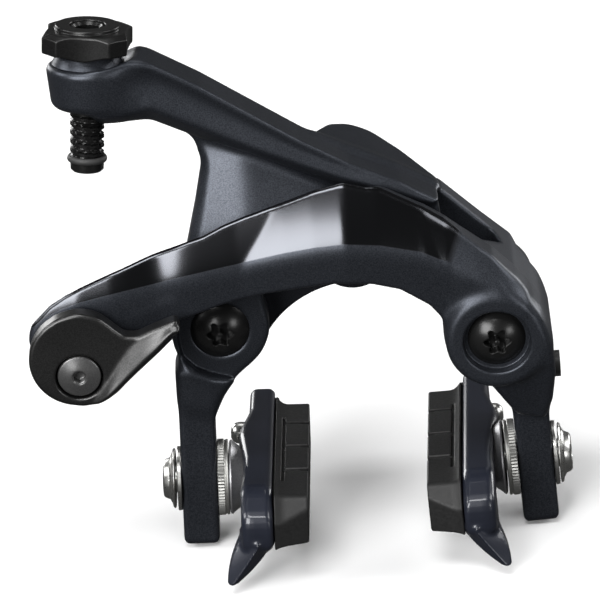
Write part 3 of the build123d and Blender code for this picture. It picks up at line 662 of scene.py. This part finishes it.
def make_stop_arm():
    """The rear arm: a grooved bar with a web and a lobe, a hub, a leg and the adjuster's boss."""
    s = Space((-62.0, -30.0, -58.0), (21.0, -1.0, 58.5), ARM_GRID)
    shoulder = [
        (-60, 56.2), (-50, 56.2), (-43, 56.0), (-38.4, 55.2), (-33.5, 52.8), (-28.6, 49.6), (-18.8, 42.9),
        (-9.0, 36.1), (0.9, 30.2), (11.0, 25.6), (19.0, 20.8),
    ]
    ridge = [
        (-60, 44.4), (-46, 45.0), (-39.2, 46.0), (-29.3, 41.0), (-19.4, 35.9), (-9.3, 31.3), (0.7, 27.0),
        (10.0, 23.3), (19.0, 20.0),
    ]
    bar = round_corners([
        (-50.0, 56.4), (-39.8, 56.4), (-28.8, 49.8), (-9.0, 36.2), (0.9, 30.2), (11.0, 25.6), (19.0, 20.8),
        (17.6, 19.9), (9.0, 20.4), (0.7, 23.6), (-9.3, 28.2), (-19.3, 33.0), (-29.3, 36.6), (-40.0, 41.9),
        (-50.0, 42.4),
    ], [1, 7, 9, 9, 5, 5, 1, 1, 3, 5, 5, 5, 5, 6, 1])
    web = round_corners([
        (-42.6, 41.8), (-37.5, 39.4), (-31.6, 34.2), (-30.0, 29.5), (-31.8, 21.4), (-34.2, 12.0),
        (-36.8, 2.0), (-37.6, -8.0), (-37.4, -24.0), (-31.6, -25.6), (-21.4, -12.6), (-19.4, -8.6),
        (-19.4, -3.0),
        (-19.0, 5.0), (-12.0, 14.5), (0.0, 19.4), (9.0, 20.6), (0.7, 26.0), (-19.3, 38.0), (-36.0, 46.0),
    ], [2, 8, 5, 5, 5, 5, 5, 5, 5, 3, 4, 3, 3, 3, 3, 3, 3, 3, 3, 3])
    top = follow(shoulder, s.x)
    lip = follow(ridge, s.x)
    share = np.clip((s.z - lip) / np.maximum(top - lip, 0.5), 0, 1)
    groove_depth = 1.5 * np.clip((s.x + 46) / 8, 0, 1) * np.clip((14 - s.x) / 16, 0, 1)
    groove = groove_depth * np.sin(np.pi * share ** 1.5)
    below = np.maximum(lip - s.z, 0)
    bar_front = -25.9 + groove + np.minimum(0.95 * below, 6.5)
    bar_front = blur(bar_front.astype(np.float32), 0.55, s.step)
    bar_back = -15.0
    arm = slab(outline(bar, s.x, s.z), s.y, bar_back, bar_front, 1.5)
    # the web flares forwards below the bar, and turns away to the right
    flare = [(-30, -22.4), (2, -22.6), (9, -24.2), (14, -25.0), (20, -23.0), (33, -17.6), (40, -16.8)]
    web_front = follow(flare, s.z)
    turned_left = 0.24 * np.maximum(-22.0 - s.x, 0) + 0.06 * np.maximum(s.x + 20.0, 0)
    web_front = web_front + turned_left * np.clip((s.z - 4.0) / 8, 0, 1)
    web_front = blur(np.minimum(web_front, -15.5).astype(np.float32), 1.5, s.step)
    web_back = -13.0
    arm = melt(arm, slab(outline(web, s.x, s.z), s.y, web_back, web_front, 2.4), 3.5)
    # the lobe behind the bar
    lobe_plan = round_corners([
        (-7.5, -18.0), (-6.4, -13.0), (-3.6, -6.4), (0.6, -2.4), (6.0, -2.3), (12.0, -5.8), (19.5, -12.6),
        (19.5, -18.0),
    ], [3, 6, 6, 6, 6, 6, 3, 1])
    lobe_top = follow([(-30, 48.3), (-8, 34.6), (0.9, 30.8), (4.6, 29.2), (11, 25.6), (20, 20.4)], s.x)
    lobe_top = blur(lobe_top + 0 * s.z, 1.2, s.step)
    lobe_low = follow([(-8, 27.0), (0.9, 22.5), (11, 20.2), (20, 18.6)], s.x)
    lobe = both(outline(lobe_plan, s.x, s.y), np.maximum(s.z - lobe_top, lobe_low - s.z) * 0.86, 1.6)
    arm = melt(arm, lobe, 2.0)
    # the lug that holds the roller's pin
    lug = round_corners([
        (18.6, 20.6), (8.0, 21.5), (12.0, 13.0), (12.4, 7.6), (15.9, 6.0), (19.2, 7.6), (19.4, 12.0),
    ], 2)
    lug_back, lug_front = -20.8, -24.4
    arm = melt(arm, slab(outline(lug, s.x, s.z), s.y, lug_back, lug_front, 0.8), 1.2)
    # the hub and the leg
    around_pivot = around_axis(s, LEFT_PIVOT)
    hub_radius, hub_back, hub_front = 10.2, -12.0, -22.4
    arm = melt(arm, slab(around_pivot - hub_radius, s.y, hub_back, hub_front, 1.4), 2.0)
    arm = melt(arm, leg_field(s, -1), 3.5)
    # the adjuster's boss, with a flat top
    low_radius, top_radius, half_height = 7.3, 8.7, 4.7
    boss = cone(s, BOSS, BOSS_AXIS, low_radius, top_radius, -half_height, half_height, 1.7)
    arm = melt(arm, boss, 5.0)
    height, reach = s.along(BOSS, BOSS_AXIS)
    arm = both(arm, np.where(reach < 12, height - 4.9 - 0.9 * np.maximum(reach - 7.6, 0), -5.0), 0.6)
    # holes, and the dished recess round the pivot bolt's head
    arm = carve(arm, np.maximum(reach - BARREL_HOLE_RADIUS, np.abs(height) - 30), 0.4)
    arm = carve(arm, np.maximum(around_pivot - PIVOT_BORE_RADIUS, s.y), 0.3)
    dish = round_corners([
        (-34.0, 3.0), (-37.4, -4.0), (-37.6, -8.8), (-36.9, -12.4), (-34.4, -15.2), (-31.4, -16.7),
        (-25.4, -18.6), (-10.0, -22.0), (-10.0, 3.0),
    ], 3.0)
    dish_floor = -20.5
    arm = carve(arm, np.maximum(outline(dish, s.x, s.z), s.y - dish_floor), 1.6)
    pin_radius, pin_end = 1.5, -17.0
    arm = carve(arm, np.maximum(around_axis(s, ROLLER) - pin_radius, s.y - pin_end), 0.2)
    piece = skin("stop_arm_body", s, arm)
    finish_piece(piece, ARM_FINISH, "stop_arm", "arm_finish", "stop_arm")


# ---- the cable-clamp arm ----
FOREMOST = -37.0
DEEPEST_FACET = -29.6


def left_turn(x):
    """How far the arm's left facet lies behind the arm's foremost edge, which is in the middle."""
    hollow_depth, hollow_x, hollow_width = 0.7, -41.0, 4.5
    hollow = hollow_depth * np.exp(-((x - hollow_x) / hollow_width) ** 2)
    return follow([(-75, 2.6), (-58, 0.4), (-50, 0.5), (-24, 2.4), (45, 7.4)], x) + hollow


def right_turn(x):
    """The same for the facets on both sides of the foremost edge."""
    return follow([(-75, 7.9), (-0.9, 0), (20, 2.0), (30, 0.6), (45, 0.6)], x)


def front_turn(x):
    """How far the crease lies behind the foremost edge."""
    return np.minimum(left_turn(x), right_turn(x))


def crease_height(x):
    """The long edge between the lacquered face and the satin face."""
    points = [
        (-75, 1.0), (-68.0, 2.2), (-64.0, 5.0), (-61.0, 6.4), (-56.6, 7.8), (-50.7, 9.0), (-38.4, 11.4),
        (-26.1, 13.6), (-13.8, 15.6), (-7.7, 16.3), (-1.6, 16.6), (5.9, 15.8), (14.0, 13.8), (20.1, 11.1),
        (26.1, 8.0), (32.0, 3.7), (35.9, -0.7), (38.0, -5.0), (45, -20),
    ]
    return follow(points, x) - 0.45 * front_turn(x)


def front_face(x, z):
    """Depth of the arm's front. The lacquered facets lean back, and meet along a line that slants up."""
    above = z - crease_height(x)
    rise = (above + np.hypot(above, 1.3)) / 2
    left = left_turn(x) + 0.29 * rise + 0.012 * rise ** 2
    right = right_turn(x) + 0.49 * rise + 0.008 * rise ** 2
    front = FOREMOST + np.minimum(left, right) + 0.10 * np.maximum(-2.0 - above, 0)
    return np.minimum(front, DEEPEST_FACET)


def make_clamp_arm():
    """The front arm: a faceted blade that reaches across to a body with the right pivot's hub and a leg."""
    s = Space((-70.0, -39.0, -58.0), (43.0, -5.0, 30.5), ARM_GRID)
    top_edge = [
        (-75, 0.5), (-68.0, 2.6), (-65.7, 4.8), (-63.1, 7.4), (-59.8, 9.5), (-56.7, 11.0), (-50.4, 13.4),
        (-44.2, 15.4), (-33.6, 18.6), (-30.4, 19.4), (-26.0, 21.2), (-21.7, 22.5), (-15.5, 24.2),
        (-6.8, 27.0), (-0.9, 28.3), (6.7, 26.1), (14.7, 21.6), (21.6, 16.2), (29.0, 10.5), (45, -1),
    ]
    blade = round_corners([
        (-68.2, -0.6), (-66.6, 6.0), (-61.0, 10.6), (-52.4, 14.0), (-41.6, 17.4), (-33.7, 20.0),
        (-26.7, 22.4), (-20.3, 24.4), (-9.8, 27.4), (-0.9, 29.0), (6.7, 26.3), (14.7, 21.9), (21.6, 16.6),
        (29.0, 11.0), (33.5, 6.0), (36.5, 2.0), (30.0, -9.0), (19.6, -8.6), (18.6, -3.2), (15.4, 1.2),
        (9.5, 5.6), (3.4, 7.6), (-3.8, 8.3), (-11.1, 7.4), (-19.5, 6.2), (-27.9, 4.4), (-36.5, 1.8),
        (-46.0, -2.0), (-52.0, -9.0), (-58.0, -13.0), (-65.0, -9.5),
    ], 4.0)
    body = round_corners([
        (14.0, 21.6), (19.5, 18.4), (27.5, 10.6), (33.6, 5.0), (38.0, -2.0), (40.3, -8.0), (40.7, -16.2),
        (39.9, -23.4), (38.2, -29.5), (32.2, -28.0), (24.9, -16.1), (20.1, -9.0), (18.6, -3.0), (19.0, 3.0),
    ], [1, 3, 5, 5, 5, 5, 5, 5, 2, 3, 5, 4, 4, 3])
    front = blur(front_face(s.x, s.z).astype(np.float32), 0.5, s.step)
    blade_back = -27.0
    arm = slab(outline(blade, s.x, s.z), s.y, blade_back, front, 0.8)
    # the top falls away behind the front edge, and less so where the blade runs into the body
    above_top = s.z - follow(top_edge, s.x) + 0.55 * np.maximum(s.y - front - 0.7, 0)
    arm = both(arm, above_top * 0.85 - 6.0 * np.clip((s.x - 4.0) / 16.0, 0, 1), 0.6)
    # the body on the right, which reaches back to the bracket
    body_front = front + 0.3 * np.maximum(-13.0 - s.z, 0)
    body_back = -12.0 + 5.4 * np.clip((s.z - 1.0) / 4.0, 0, 1)
    body_shape = slab(outline(body, s.x, s.z), s.y, body_back, np.maximum(body_front, -36.6), 1.8)
    # the pocket that the other arm's lug reaches into
    pocket_plan = round_corners([
        (4.0, -27.6), (4.0, -13.0), (29.4, -13.4), (31.0, -17.0), (24.0, -27.6),
    ], 2.0)
    pocket = both(outline(pocket_plan, s.x, s.y), np.maximum(2.0 - s.z, s.z - 40), 0.5)
    body_shape = carve(body_shape, pocket, 0.8)
    arm = melt(arm, body_shape, 1.6)
    around_pivot = around_axis(s, RIGHT_PIVOT)
    hub_radius, hub_back, hub_front = 10.6, -12.0, -36.4
    arm = melt(arm, slab(around_pivot - hub_radius, s.y, hub_back, hub_front, 1.6), 2.5)
    arm = melt(arm, leg_field(s, 1), 3.5)
    # the pivot's bore, the recess for its bolt's head, and the hole for the lever's drum
    head_room_radius, head_room_floor, drum_hole_radius = 7.0, -34.0, 7.1
    arm = carve(arm, around_pivot - PIVOT_BORE_RADIUS, 0.3)
    arm = carve(arm, np.maximum(around_pivot - head_room_radius, s.y - head_room_floor), 0.4)
    arm = carve(arm, around_axis(s, LEVER_JOINT) - drum_hole_radius, 0.5)
    piece = skin("clamp_arm_body", s, arm)
    # how far each point is inside the lacquered area
    place = np.empty(3 * len(piece.data.vertices), np.float32)
    piece.data.vertices.foreach_get("co", place)
    x, y, z = place.reshape(-1, 3).T / MM
    above_crease = z - crease_height(x) - 0.75
    left_of_fade = (21.0 - x + 0.5 * (z - 13.0)) * 0.12
    near_front = 1.1 - (y - front_face(x, z))
    inside = np.minimum(np.minimum(above_crease, left_of_fade), near_front)
    layer = piece.data.attributes.new("lacquer", "FLOAT", "POINT")
    layer.data.foreach_set("value", inside.astype(np.float32))
    finish_piece(piece, LACQUERED_ARM, "clamp_arm", "arm_finish", "clamp_arm")


# ---- the cable adjuster ----
def adjuster_space(low, high, step):
    """A grid on the boss, with its z along the barrel."""
    across = np.cross(BOSS_AXIS, (0, 1, 0))
    across = -across / np.linalg.norm(across)
    return Space(low, high, step, BOSS, (across, np.cross(BOSS_AXIS, across), BOSS_AXIS))


def make_adjuster_knob():
    """A four-sided knob with hollow sides and cut corners, a raised hub and a wavy underside."""
    s = adjuster_space((-12, -12, 6), (12, 12, 13.8), 0.22)
    turn = math.radians(-5.5)
    u = s.x * math.cos(turn) + s.y * math.sin(turn)
    v = s.y * math.cos(turn) - s.x * math.sin(turn)
    angle = np.arctan2(v, u)
    radius = np.hypot(u, v)
    across = np.minimum(np.abs(u), np.abs(v))
    half_width, hollow, corner_reach = 9.0, 0.85, 10.2
    rim_top, hub_top, hub_radius = 12.1, 13.0, 6.7
    sides = np.maximum(np.abs(u), np.abs(v)) - half_width + hollow * np.clip(1 - (across / 6.0) ** 2, 0, 1)
    corners = (np.abs(u) + np.abs(v)) * math.sqrt(0.5) - corner_reach
    knob = both(sides, corners, 0.3)
    low = 7.5 - 0.7 * np.clip(np.cos(4 * angle), -0.5, 1)
    knob = both(knob, np.maximum(s.z - rim_top, low - s.z), 0.35)
    knob = both(knob, (s.z - rim_top + 0.45 * (radius - 8.6)) / 1.1, 0.15)
    knob = melt(knob, both(radius - hub_radius, np.maximum(s.z - hub_top, 9 - s.z), 0.35), 0.25)
    knob = carve(knob, np.maximum(radius - BARREL_HOLE_RADIUS, 0 * s.z - 1), 0.15)
    piece = skin("adjuster_knob_body", s, knob)
    finish_piece(piece, KNOB_FINISH, "adjuster_knob", "black_steel", "adjuster_knob")


def make_adjuster_barrel():
    """The threaded barrel, hollow for the cable and its casing."""
    pitch, depth = 1.9, 0.52
    thread_start, thread_end = -5.9, -15.6

    def thread(height, angle):
        turn = (height / pitch + angle / (2 * math.pi)) % 1.0
        if turn <= 0.3 or not thread_end < height < thread_start:
            return 0.0
        return -depth * min(1.0, 2.4 * abs(2 * turn - 1))

    profile = [(-17.9, 1.0), (-18.25, 1.4), (-18.25, 3.0), (-17.8, 3.45), (-16.2, 3.5), (-15.9, 3.5)]
    profile += [(-15.8 + 0.16 * k, 3.55) for k in range(63)]
    profile += [(-5.6, 3.55), (12.4, 3.55), (12.7, 3.35), (12.7, 3.1), (12.1, 2.6), (4.0, 2.6), (4.0, 1.0)]
    piece = turned("adjuster_barrel_body", BOSS, BOSS_AXIS, profile, 72, thread)
    finish_piece(piece, KNOB_FINISH, "adjuster_barrel", "black_steel", "adjuster_barrel")
    half_turn = np.linspace(0, math.pi, 13)
    profile = [(-15.6 + 0.72 * math.cos(a), 3.58 + 0.58 * math.sin(a)) for a in half_turn] + [(-15.6, 3.2)]
    ring = turned("barrel_ring_body", BOSS, BOSS_AXIS, profile)
    finish_piece(ring, RING_RUBBER, "adjuster_barrel", "ring_rubber", "barrel_ring")


# ---- the quick-release lever ----
def make_quick_release():
    """The lever: a round plate on a drum, and a handle with a finger rest."""
    s = Space((-69.5, -43.4, -14.5), (-34.5, -28.0, 9.5), 0.3)
    around_drum = around_axis(s, LEVER_JOINT)
    plate_radius, drum_radius, drum_back, drum_front = 10.15, 7.0, -28.4, -38.5
    handle = round_corners([
        (-62.0, 6.0), (-57.0, 7.9), (-53.2, 6.6), (-50.4, 3.7), (-48.0, 2.3), (-45.4, 2.0), (-42.0, 3.4),
        (-36.9, 5.2), (-36.2, 3.2), (-37.8, 0.8), (-46.0, -6.2), (-50.2, -9.9), (-54.0, -12.0),
        (-58.5, -12.6), (-60.0, -6.0),
    ], [1, 4, 4, 3, 3, 3, 4, 1.0, 1.0, 3, 6, 5, 4, 2, 2])
    flat = melt(outline(handle, s.x, s.z), around_drum - plate_radius, 1.5)
    # the finger rest rises from a hollow to a ridge along the lower right edge
    hollow = [
        (-56.0, -13.5), (-54.3, -10.0), (-52.0, -7.2), (-49.7, -3.6), (-47.3, -0.3), (-44.6, 2.2),
        (-39.4, 3.6),
    ]
    ridge = [(-57.0, -14.5), (-53.6, -11.6), (-50.0, -8.6), (-45.6, -4.4), (-41.0, -0.2), (-37.8, 3.4)]
    start = follow(hollow, s.x) - s.z
    end = follow(ridge, s.x) - s.z
    rising = np.clip(start / np.maximum(start - end, 0.3), 0, 1) * np.clip((s.x + 57.0) / 5, 0, 1)
    front = -41.6 - 1.5 * rising + 0.8 * np.maximum(end, 0)
    front = blur(np.minimum(front, -38.6).astype(np.float32), 0.35, s.step)
    plate_back = -37.5
    lever = slab(flat, s.y, plate_back, front, 0.75)
    lever = melt(lever, slab(around_drum - drum_radius, s.y, drum_back, drum_front, 0.3), 0.4)
    around_bolt = around_axis(s, ANCHOR)
    head_room_radius, head_room_floor, bolt_hole_radius = 4.9, -39.6, 2.6
    lever = carve(lever, np.maximum(around_bolt - head_room_radius, s.y - head_room_floor), 0.5)
    lever = carve(lever, around_bolt - bolt_hole_radius, 0.3)
    piece = skin("quick_release_body", s, lever)
    finish_piece(piece, LEVER_FINISH, "quick_release", "dark_metal", "quick_release_lever")


def make_anchor_bolt():
    """The cable anchor's bolt: a shallow cone with a hexagon socket."""
    place = np.array((ANCHOR[0], 0, ANCHOR[2]))
    s = Space((-6, -43, -6), (6, -18.5, 6), 0.2, place)
    radius = np.hypot(s.x, s.z)
    head_radius, head_back, head_front, shank_radius, shank_end = 4.5, -39.7, -41.9, 2.45, -19.1
    head = slab(radius - head_radius, s.y, head_back, head_front, 0.3)
    head = both(head, (-s.y + 0.30 * (radius - 1.6) + head_front) / 1.04, 0.2)
    shank = slab(radius - shank_radius, s.y, shank_end, -41.0, 0.2)
    bolt = melt(head, shank, 0.3)
    hexagon = np.full(radius.shape, -9.0, np.float32)
    for k in range(3):
        angle = math.pi * k / 3
        hexagon = np.maximum(hexagon, np.abs(s.x * math.cos(angle) + s.z * math.sin(angle)) - 1.1)
    bolt = carve(bolt, np.maximum(radius - 1.45, s.y + 41.5), 0.3)
    bolt = carve(bolt, np.maximum(hexagon, s.y + 39.9), 0.1)
    piece = skin("cable_anchor_bolt_body", s, bolt)
    finish_piece(piece, ANCHOR_FINISH, "quick_release", "dark_metal", "cable_anchor_bolt")


# ---- pivot bolts ----
def make_pivot_bolt(name):
    """A domed black bolt with a six-lobed socket, on the CAD bolt's axis and as long as it."""
    low, high = low_corner(name), high_corner(name)
    front, back = low[1], high[1]
    place = ((low[0] + high[0]) / 2, 0, (low[2] + high[2]) / 2)
    s = Space((-8, front - 1.5, -8), (8, front + 7, 8), 0.2, place)
    radius = np.hypot(s.x, s.z)
    angle = np.arctan2(s.z, s.x)
    depth = s.y - front
    head_radius, head_height, dome_radius, socket_depth, shank_radius = 6.7, 4.6, 7.9, 2.9, 3.95
    dome = np.sqrt(radius ** 2 + (depth - dome_radius) ** 2) - dome_radius
    head = both(both(radius - head_radius, dome, 0.4), depth - head_height, 0.3)
    star = radius - 2.35 - 0.45 * np.cos(6 * angle)
    head = carve(head, np.maximum(np.maximum(star, depth - socket_depth), 0.6 - radius), 0.25)
    piece = skin(name + "_head", s, head)
    finish_piece(piece, BLACK_GLOSS, "bracket", "black_steel", name)
    shank = turned(name + "_shank", place, (0, 1, 0), [
        (front + 4.0, 0), (front + 4.0, shank_radius), (back - 0.5, shank_radius), (back, 3.5), (back, 0),
    ])
    finish_piece(shank, BLACK_GLOSS, "bracket", "black_steel", name)


# ---- brake shoes ----
HOLDER_END = {"left": 16.1, "right": 15.1}  # from the leg's middle to where the pad starts
PAD_THICKNESS = 7.3
PAD_MIDDLE_HEIGHT = 1.4
PAD_SCREW = (15.0, 3.2)  # behind and above the shoe's bolt


def side_name(side):
    return "left" if side < 0 else "right"


def shoe_space(side, low, high, step):
    """A grid beside a shoe's bolt: x points back, y up and z towards the wheel."""
    joint = joint_named(side_name(side) + "_shoe_turn")
    towards = np.array(joint["axis"], float)
    up = np.array((-side * math.sin(LEG_LEAN), 0, math.cos(LEG_LEAN)))
    back = np.cross(up, towards) * -side
    origin = LEG_MIDDLE * (side, 1, 1)
    return Space(low, high, step, origin, (back, up, towards))


def holder_field(s, end):
    """The cartridge holder up to where the pad starts: a bar that flares into a boss, and a wing."""
    plan = round_corners([
        (29.5, end - 5.6), (18.0, end - 5.7), (9.5, end - 7.5), (6.0, end - 7.7), (-6.0, end - 6.6),
        (-12.0, end - 6.5), (-20.0, end - 6.9), (-29.5, end - 6.7), (-29.5, end - 0.1), (29.5, end - 0.1),
    ], [1.6, 4, 2, 2, 4, 4, 4, 2.6, 1.2, 1])
    face = round_corners([
        (-29.5, -4.3), (29.5, -4.3), (29.5, 7.6), (-22.0, 7.6), (-29.5, 3.4),
    ], [3, 2.4, 2.4, 9, 5])
    holder = both(outline(plan, s.x, s.z), outline(face, s.x, s.y), 1.7)
    # the wing under the front end
    t = np.clip((-2.6 - s.y) / 8.9, 0, 1)
    middle_z = 12.2 - 5.5 * t
    middle_x = -25.6 - 3.9 * t
    width = 3.2 * (1 - t ** 2.2) + 0.6
    depth = 3.8 * (1 - t) + 0.5
    ridge = np.abs(s.z - middle_z - 0.12 * width) / width + np.maximum(middle_x - s.x, 0) / depth
    flank = np.maximum(np.abs(s.z - middle_z) / width, (s.x - middle_x) / depth)
    wing = (np.maximum(ridge, flank) - 1) * np.minimum(width, depth) * 0.7
    wing = both(wing, np.maximum(s.y + 1.5, -11.2 - s.y), 0.6)
    return melt(holder, wing, 0.9)


def dish_radius(z):
    """Radius of the dished washer between the spacer and the holder."""
    t = np.clip((z - 6.9) / 4.0, 0, 1)
    return 8.0 - 2.9 * t ** 0.8


def make_shoe_holder(side):
    name = side_name(side)
    end = HOLDER_END[name]
    s = shoe_space(side, (-31.5, -12.6, 4.5), (30.6, 9.0, 17.5), 0.33)
    holder = holder_field(s, end)
    radius = np.hypot(s.x, s.y)
    # the dished washer's seat, the groove for the pad's tongue, and the screw's and the bolt's holes
    holder = carve(holder, np.maximum(radius - dish_radius(s.z) - 0.25, s.z - 11.2), 0.5)
    groove = np.maximum(end - 3.2 - s.z, np.maximum(-19.0 - s.x, s.x - 40))
    holder = carve(holder, both(np.abs(s.y - PAD_MIDDLE_HEIGHT) - 4.55, groove, 0.2), 0.4)
    around_screw = np.hypot(s.x - PAD_SCREW[0], s.y - PAD_SCREW[1])
    holder = carve(holder, np.maximum(around_screw - 2.55, s.z - 13.5), 0.4)
    holder = carve(holder, np.maximum(radius - 3.1, s.z - 12.3), 0.1)
    piece = skin(name + "_shoe_holder_body", s, holder)
    finish_piece(piece, SHOE_PAINT, name + "_shoe", "shoe_paint", name + "_shoe_holder")


def make_brake_pad(side):
    """The pad, with grooves across its braking face and down its sides, and a seam along them."""
    name = side_name(side)
    s = shoe_space(side, (-29.5, -5.2, 11.0), (30.0, 8.2, 24.6), 0.3)
    z = s.z - HOLDER_END[name]
    from_middle = np.abs(s.y - PAD_MIDDLE_HEIGHT)
    side_view = round_corners([
        (-27.7, -3.7), (22.5, -3.7), (22.5, 6.5), (-23.4, 6.5), (-27.7, 1.2),
    ], [0.8, 0.8, 0.8, 2, 1.2])
    flare = np.clip(1 - (z - 0.3) / 2.6, 0, 1) ** 2.5
    sides = outline(side_view, s.x - 0.11 * flare * np.maximum(s.x, 0), s.y) - 0.55 * flare
    pad = both(sides * 0.85, np.maximum(0.12 - z, z - PAD_THICKNESS), 0.3)
    pad = both(pad, (-27.7 - s.x + 0.34 * z) / 1.06, 0.3)
    tongue = both(from_middle - 4.4, np.maximum(-3.0 - z, z - 0.7), 0.2)
    pad = melt(pad, both(tongue, np.maximum(-18.7 - s.x, s.x - 27.2), 0.3), 0.3)
    half_groove, groove_depth = 0.55, 1.4
    for place in (12.5, 1.0, -10.5):
        groove = np.abs(s.x - place) - half_groove
        pad = carve(pad, both(groove, np.maximum(1.9 - z, 4.3 - from_middle), 0.0), 0.15)
        pad = carve(pad, both(groove, PAD_THICKNESS - groove_depth - z, 0.0), 0.3)
    seam = both(np.abs(z - 1.9) - 0.28, np.maximum(4.5 - from_middle, np.abs(s.x + 0.5) - 15.5), 0.0)
    pad = carve(pad, seam, 0.2)
    piece = skin(name + "_brake_pad_body", s, pad)
    finish_piece(piece, PAD_RUBBER, name + "_shoe", "pad_rubber", name + "_brake_pad")


def make_shoe_hardware(side):
    """The bolt, the washers and the spacer that clamp a shoe to its leg."""
    name = side_name(side)
    space = shoe_space(side, (0, 0, 0), (1, 1, 1), 1)
    origin, (back, up, towards) = space.origin, space.axes
    level = np.array((-side * math.cos(LEG_LEAN), 0, -math.sin(LEG_LEAN)))

    def teeth(height, angle):
        return 0.10 * math.cos(72 * angle) if 3.95 < height < 5.3 else 0.0

    spacer = turned(name + "_shoe_spacer_body", origin, level, [
        (3.87, 3.6), (3.87, 7.9), (4.0, 8.05), (5.25, 8.05), (5.45, 7.85), (5.6, 7.85), (5.75, 8.05),
        (6.05, 8.05), (6.2, 7.9), (6.2, 3.6),
    ], 288, teeth)
    finish_piece(spacer, BLASTED_STEEL, name + "_shoe_slide", "steel", name + "_shoe_spacer")
    leg_washer = turned(name + "_leg_washer_body", origin, level, [
        (-3.87, 3.6), (-3.87, 6.7), (-4.0, 6.85), (-4.6, 6.85), (-4.75, 6.7), (-4.75, 3.6),
    ])
    finish_piece(leg_washer, STEEL, name + "_shoe_slide", "steel", name + "_leg_washer")
    slope = [(z, float(dish_radius(z))) for z in (7.1, 7.5, 8.0, 8.6, 9.2, 9.8, 10.4, 10.8)]
    convex = turned(name + "_convex_washer_body", origin, towards, [
        (6.45, 3.1), (6.45, 7.6), (6.6, 7.85), (6.9, 7.95), *slope, (10.8, 3.1),
    ])
    finish_piece(convex, DISH_METAL, name + "_shoe_seat", "black_steel", name + "_convex_washer")
    bolt_washer = turned(name + "_bolt_washer_body", origin, towards, [
        (-5.15, 3.1), (-5.15, 6.2), (-5.3, 6.4), (-5.5, 6.4), (-5.75, 6.1), (-5.88, 5.6), (-5.88, 3.1),
    ])
    finish_piece(bolt_washer, STEEL, name + "_shoe_seat", "steel", name + "_bolt_washer")
    bolt = turned(name + "_shoe_bolt_body", origin, towards, [
        (12.0, 0), (12.0, 2.8), (11.8, 3.0), (-5.4, 3.0), (-5.75, 5.1), (-5.95, 5.25), (-6.1, 5.1),
        (-6.4, 4.5), (-7.4, 4.1), (-7.7, 3.8), (-7.8, 3.4), (-7.8, 2.3), (-7.6, 2.15), (-6.4, 2.15),
        (-6.4, 0),
    ], 96)
    finish_piece(bolt, STEEL, name + "_shoe_seat", "steel", name + "_shoe_bolt")
    screw_place = origin + back * PAD_SCREW[0] + up * PAD_SCREW[1]
    screw = turned(name + "_pad_screw_body", screw_place, towards, [
        (12.0, 0), (12.0, 2.2), (8.5, 2.38), (8.0, 2.35), (7.5, 2.2), (7.05, 1.93), (6.7, 1.55), (6.5, 1.15),
        (6.45, 0.95), (6.7, 0.85), (8.2, 0.85), (8.2, 0),
    ], 48)
    finish_piece(screw, STEEL, name + "_shoe", "steel", name + "_pad_screw")


finish_cad_nodes()
nodes["centring_screw"].data.materials[0] = NYLON
nodes["serrated_washer"].data.materials[0] = DARK_FINISH
make_stop_arm()
make_clamp_arm()
make_adjuster_knob()
make_adjuster_barrel()
make_quick_release()
make_anchor_bolt()
make_pivot_bolt("left_pivot_bolt")
make_pivot_bolt("right_pivot_bolt")
for side in (-1, 1):
    make_shoe_holder(side)
    make_brake_pad(side)
    make_shoe_hardware(side)
set_camera()
make_floor()
make_world()
make_lights()
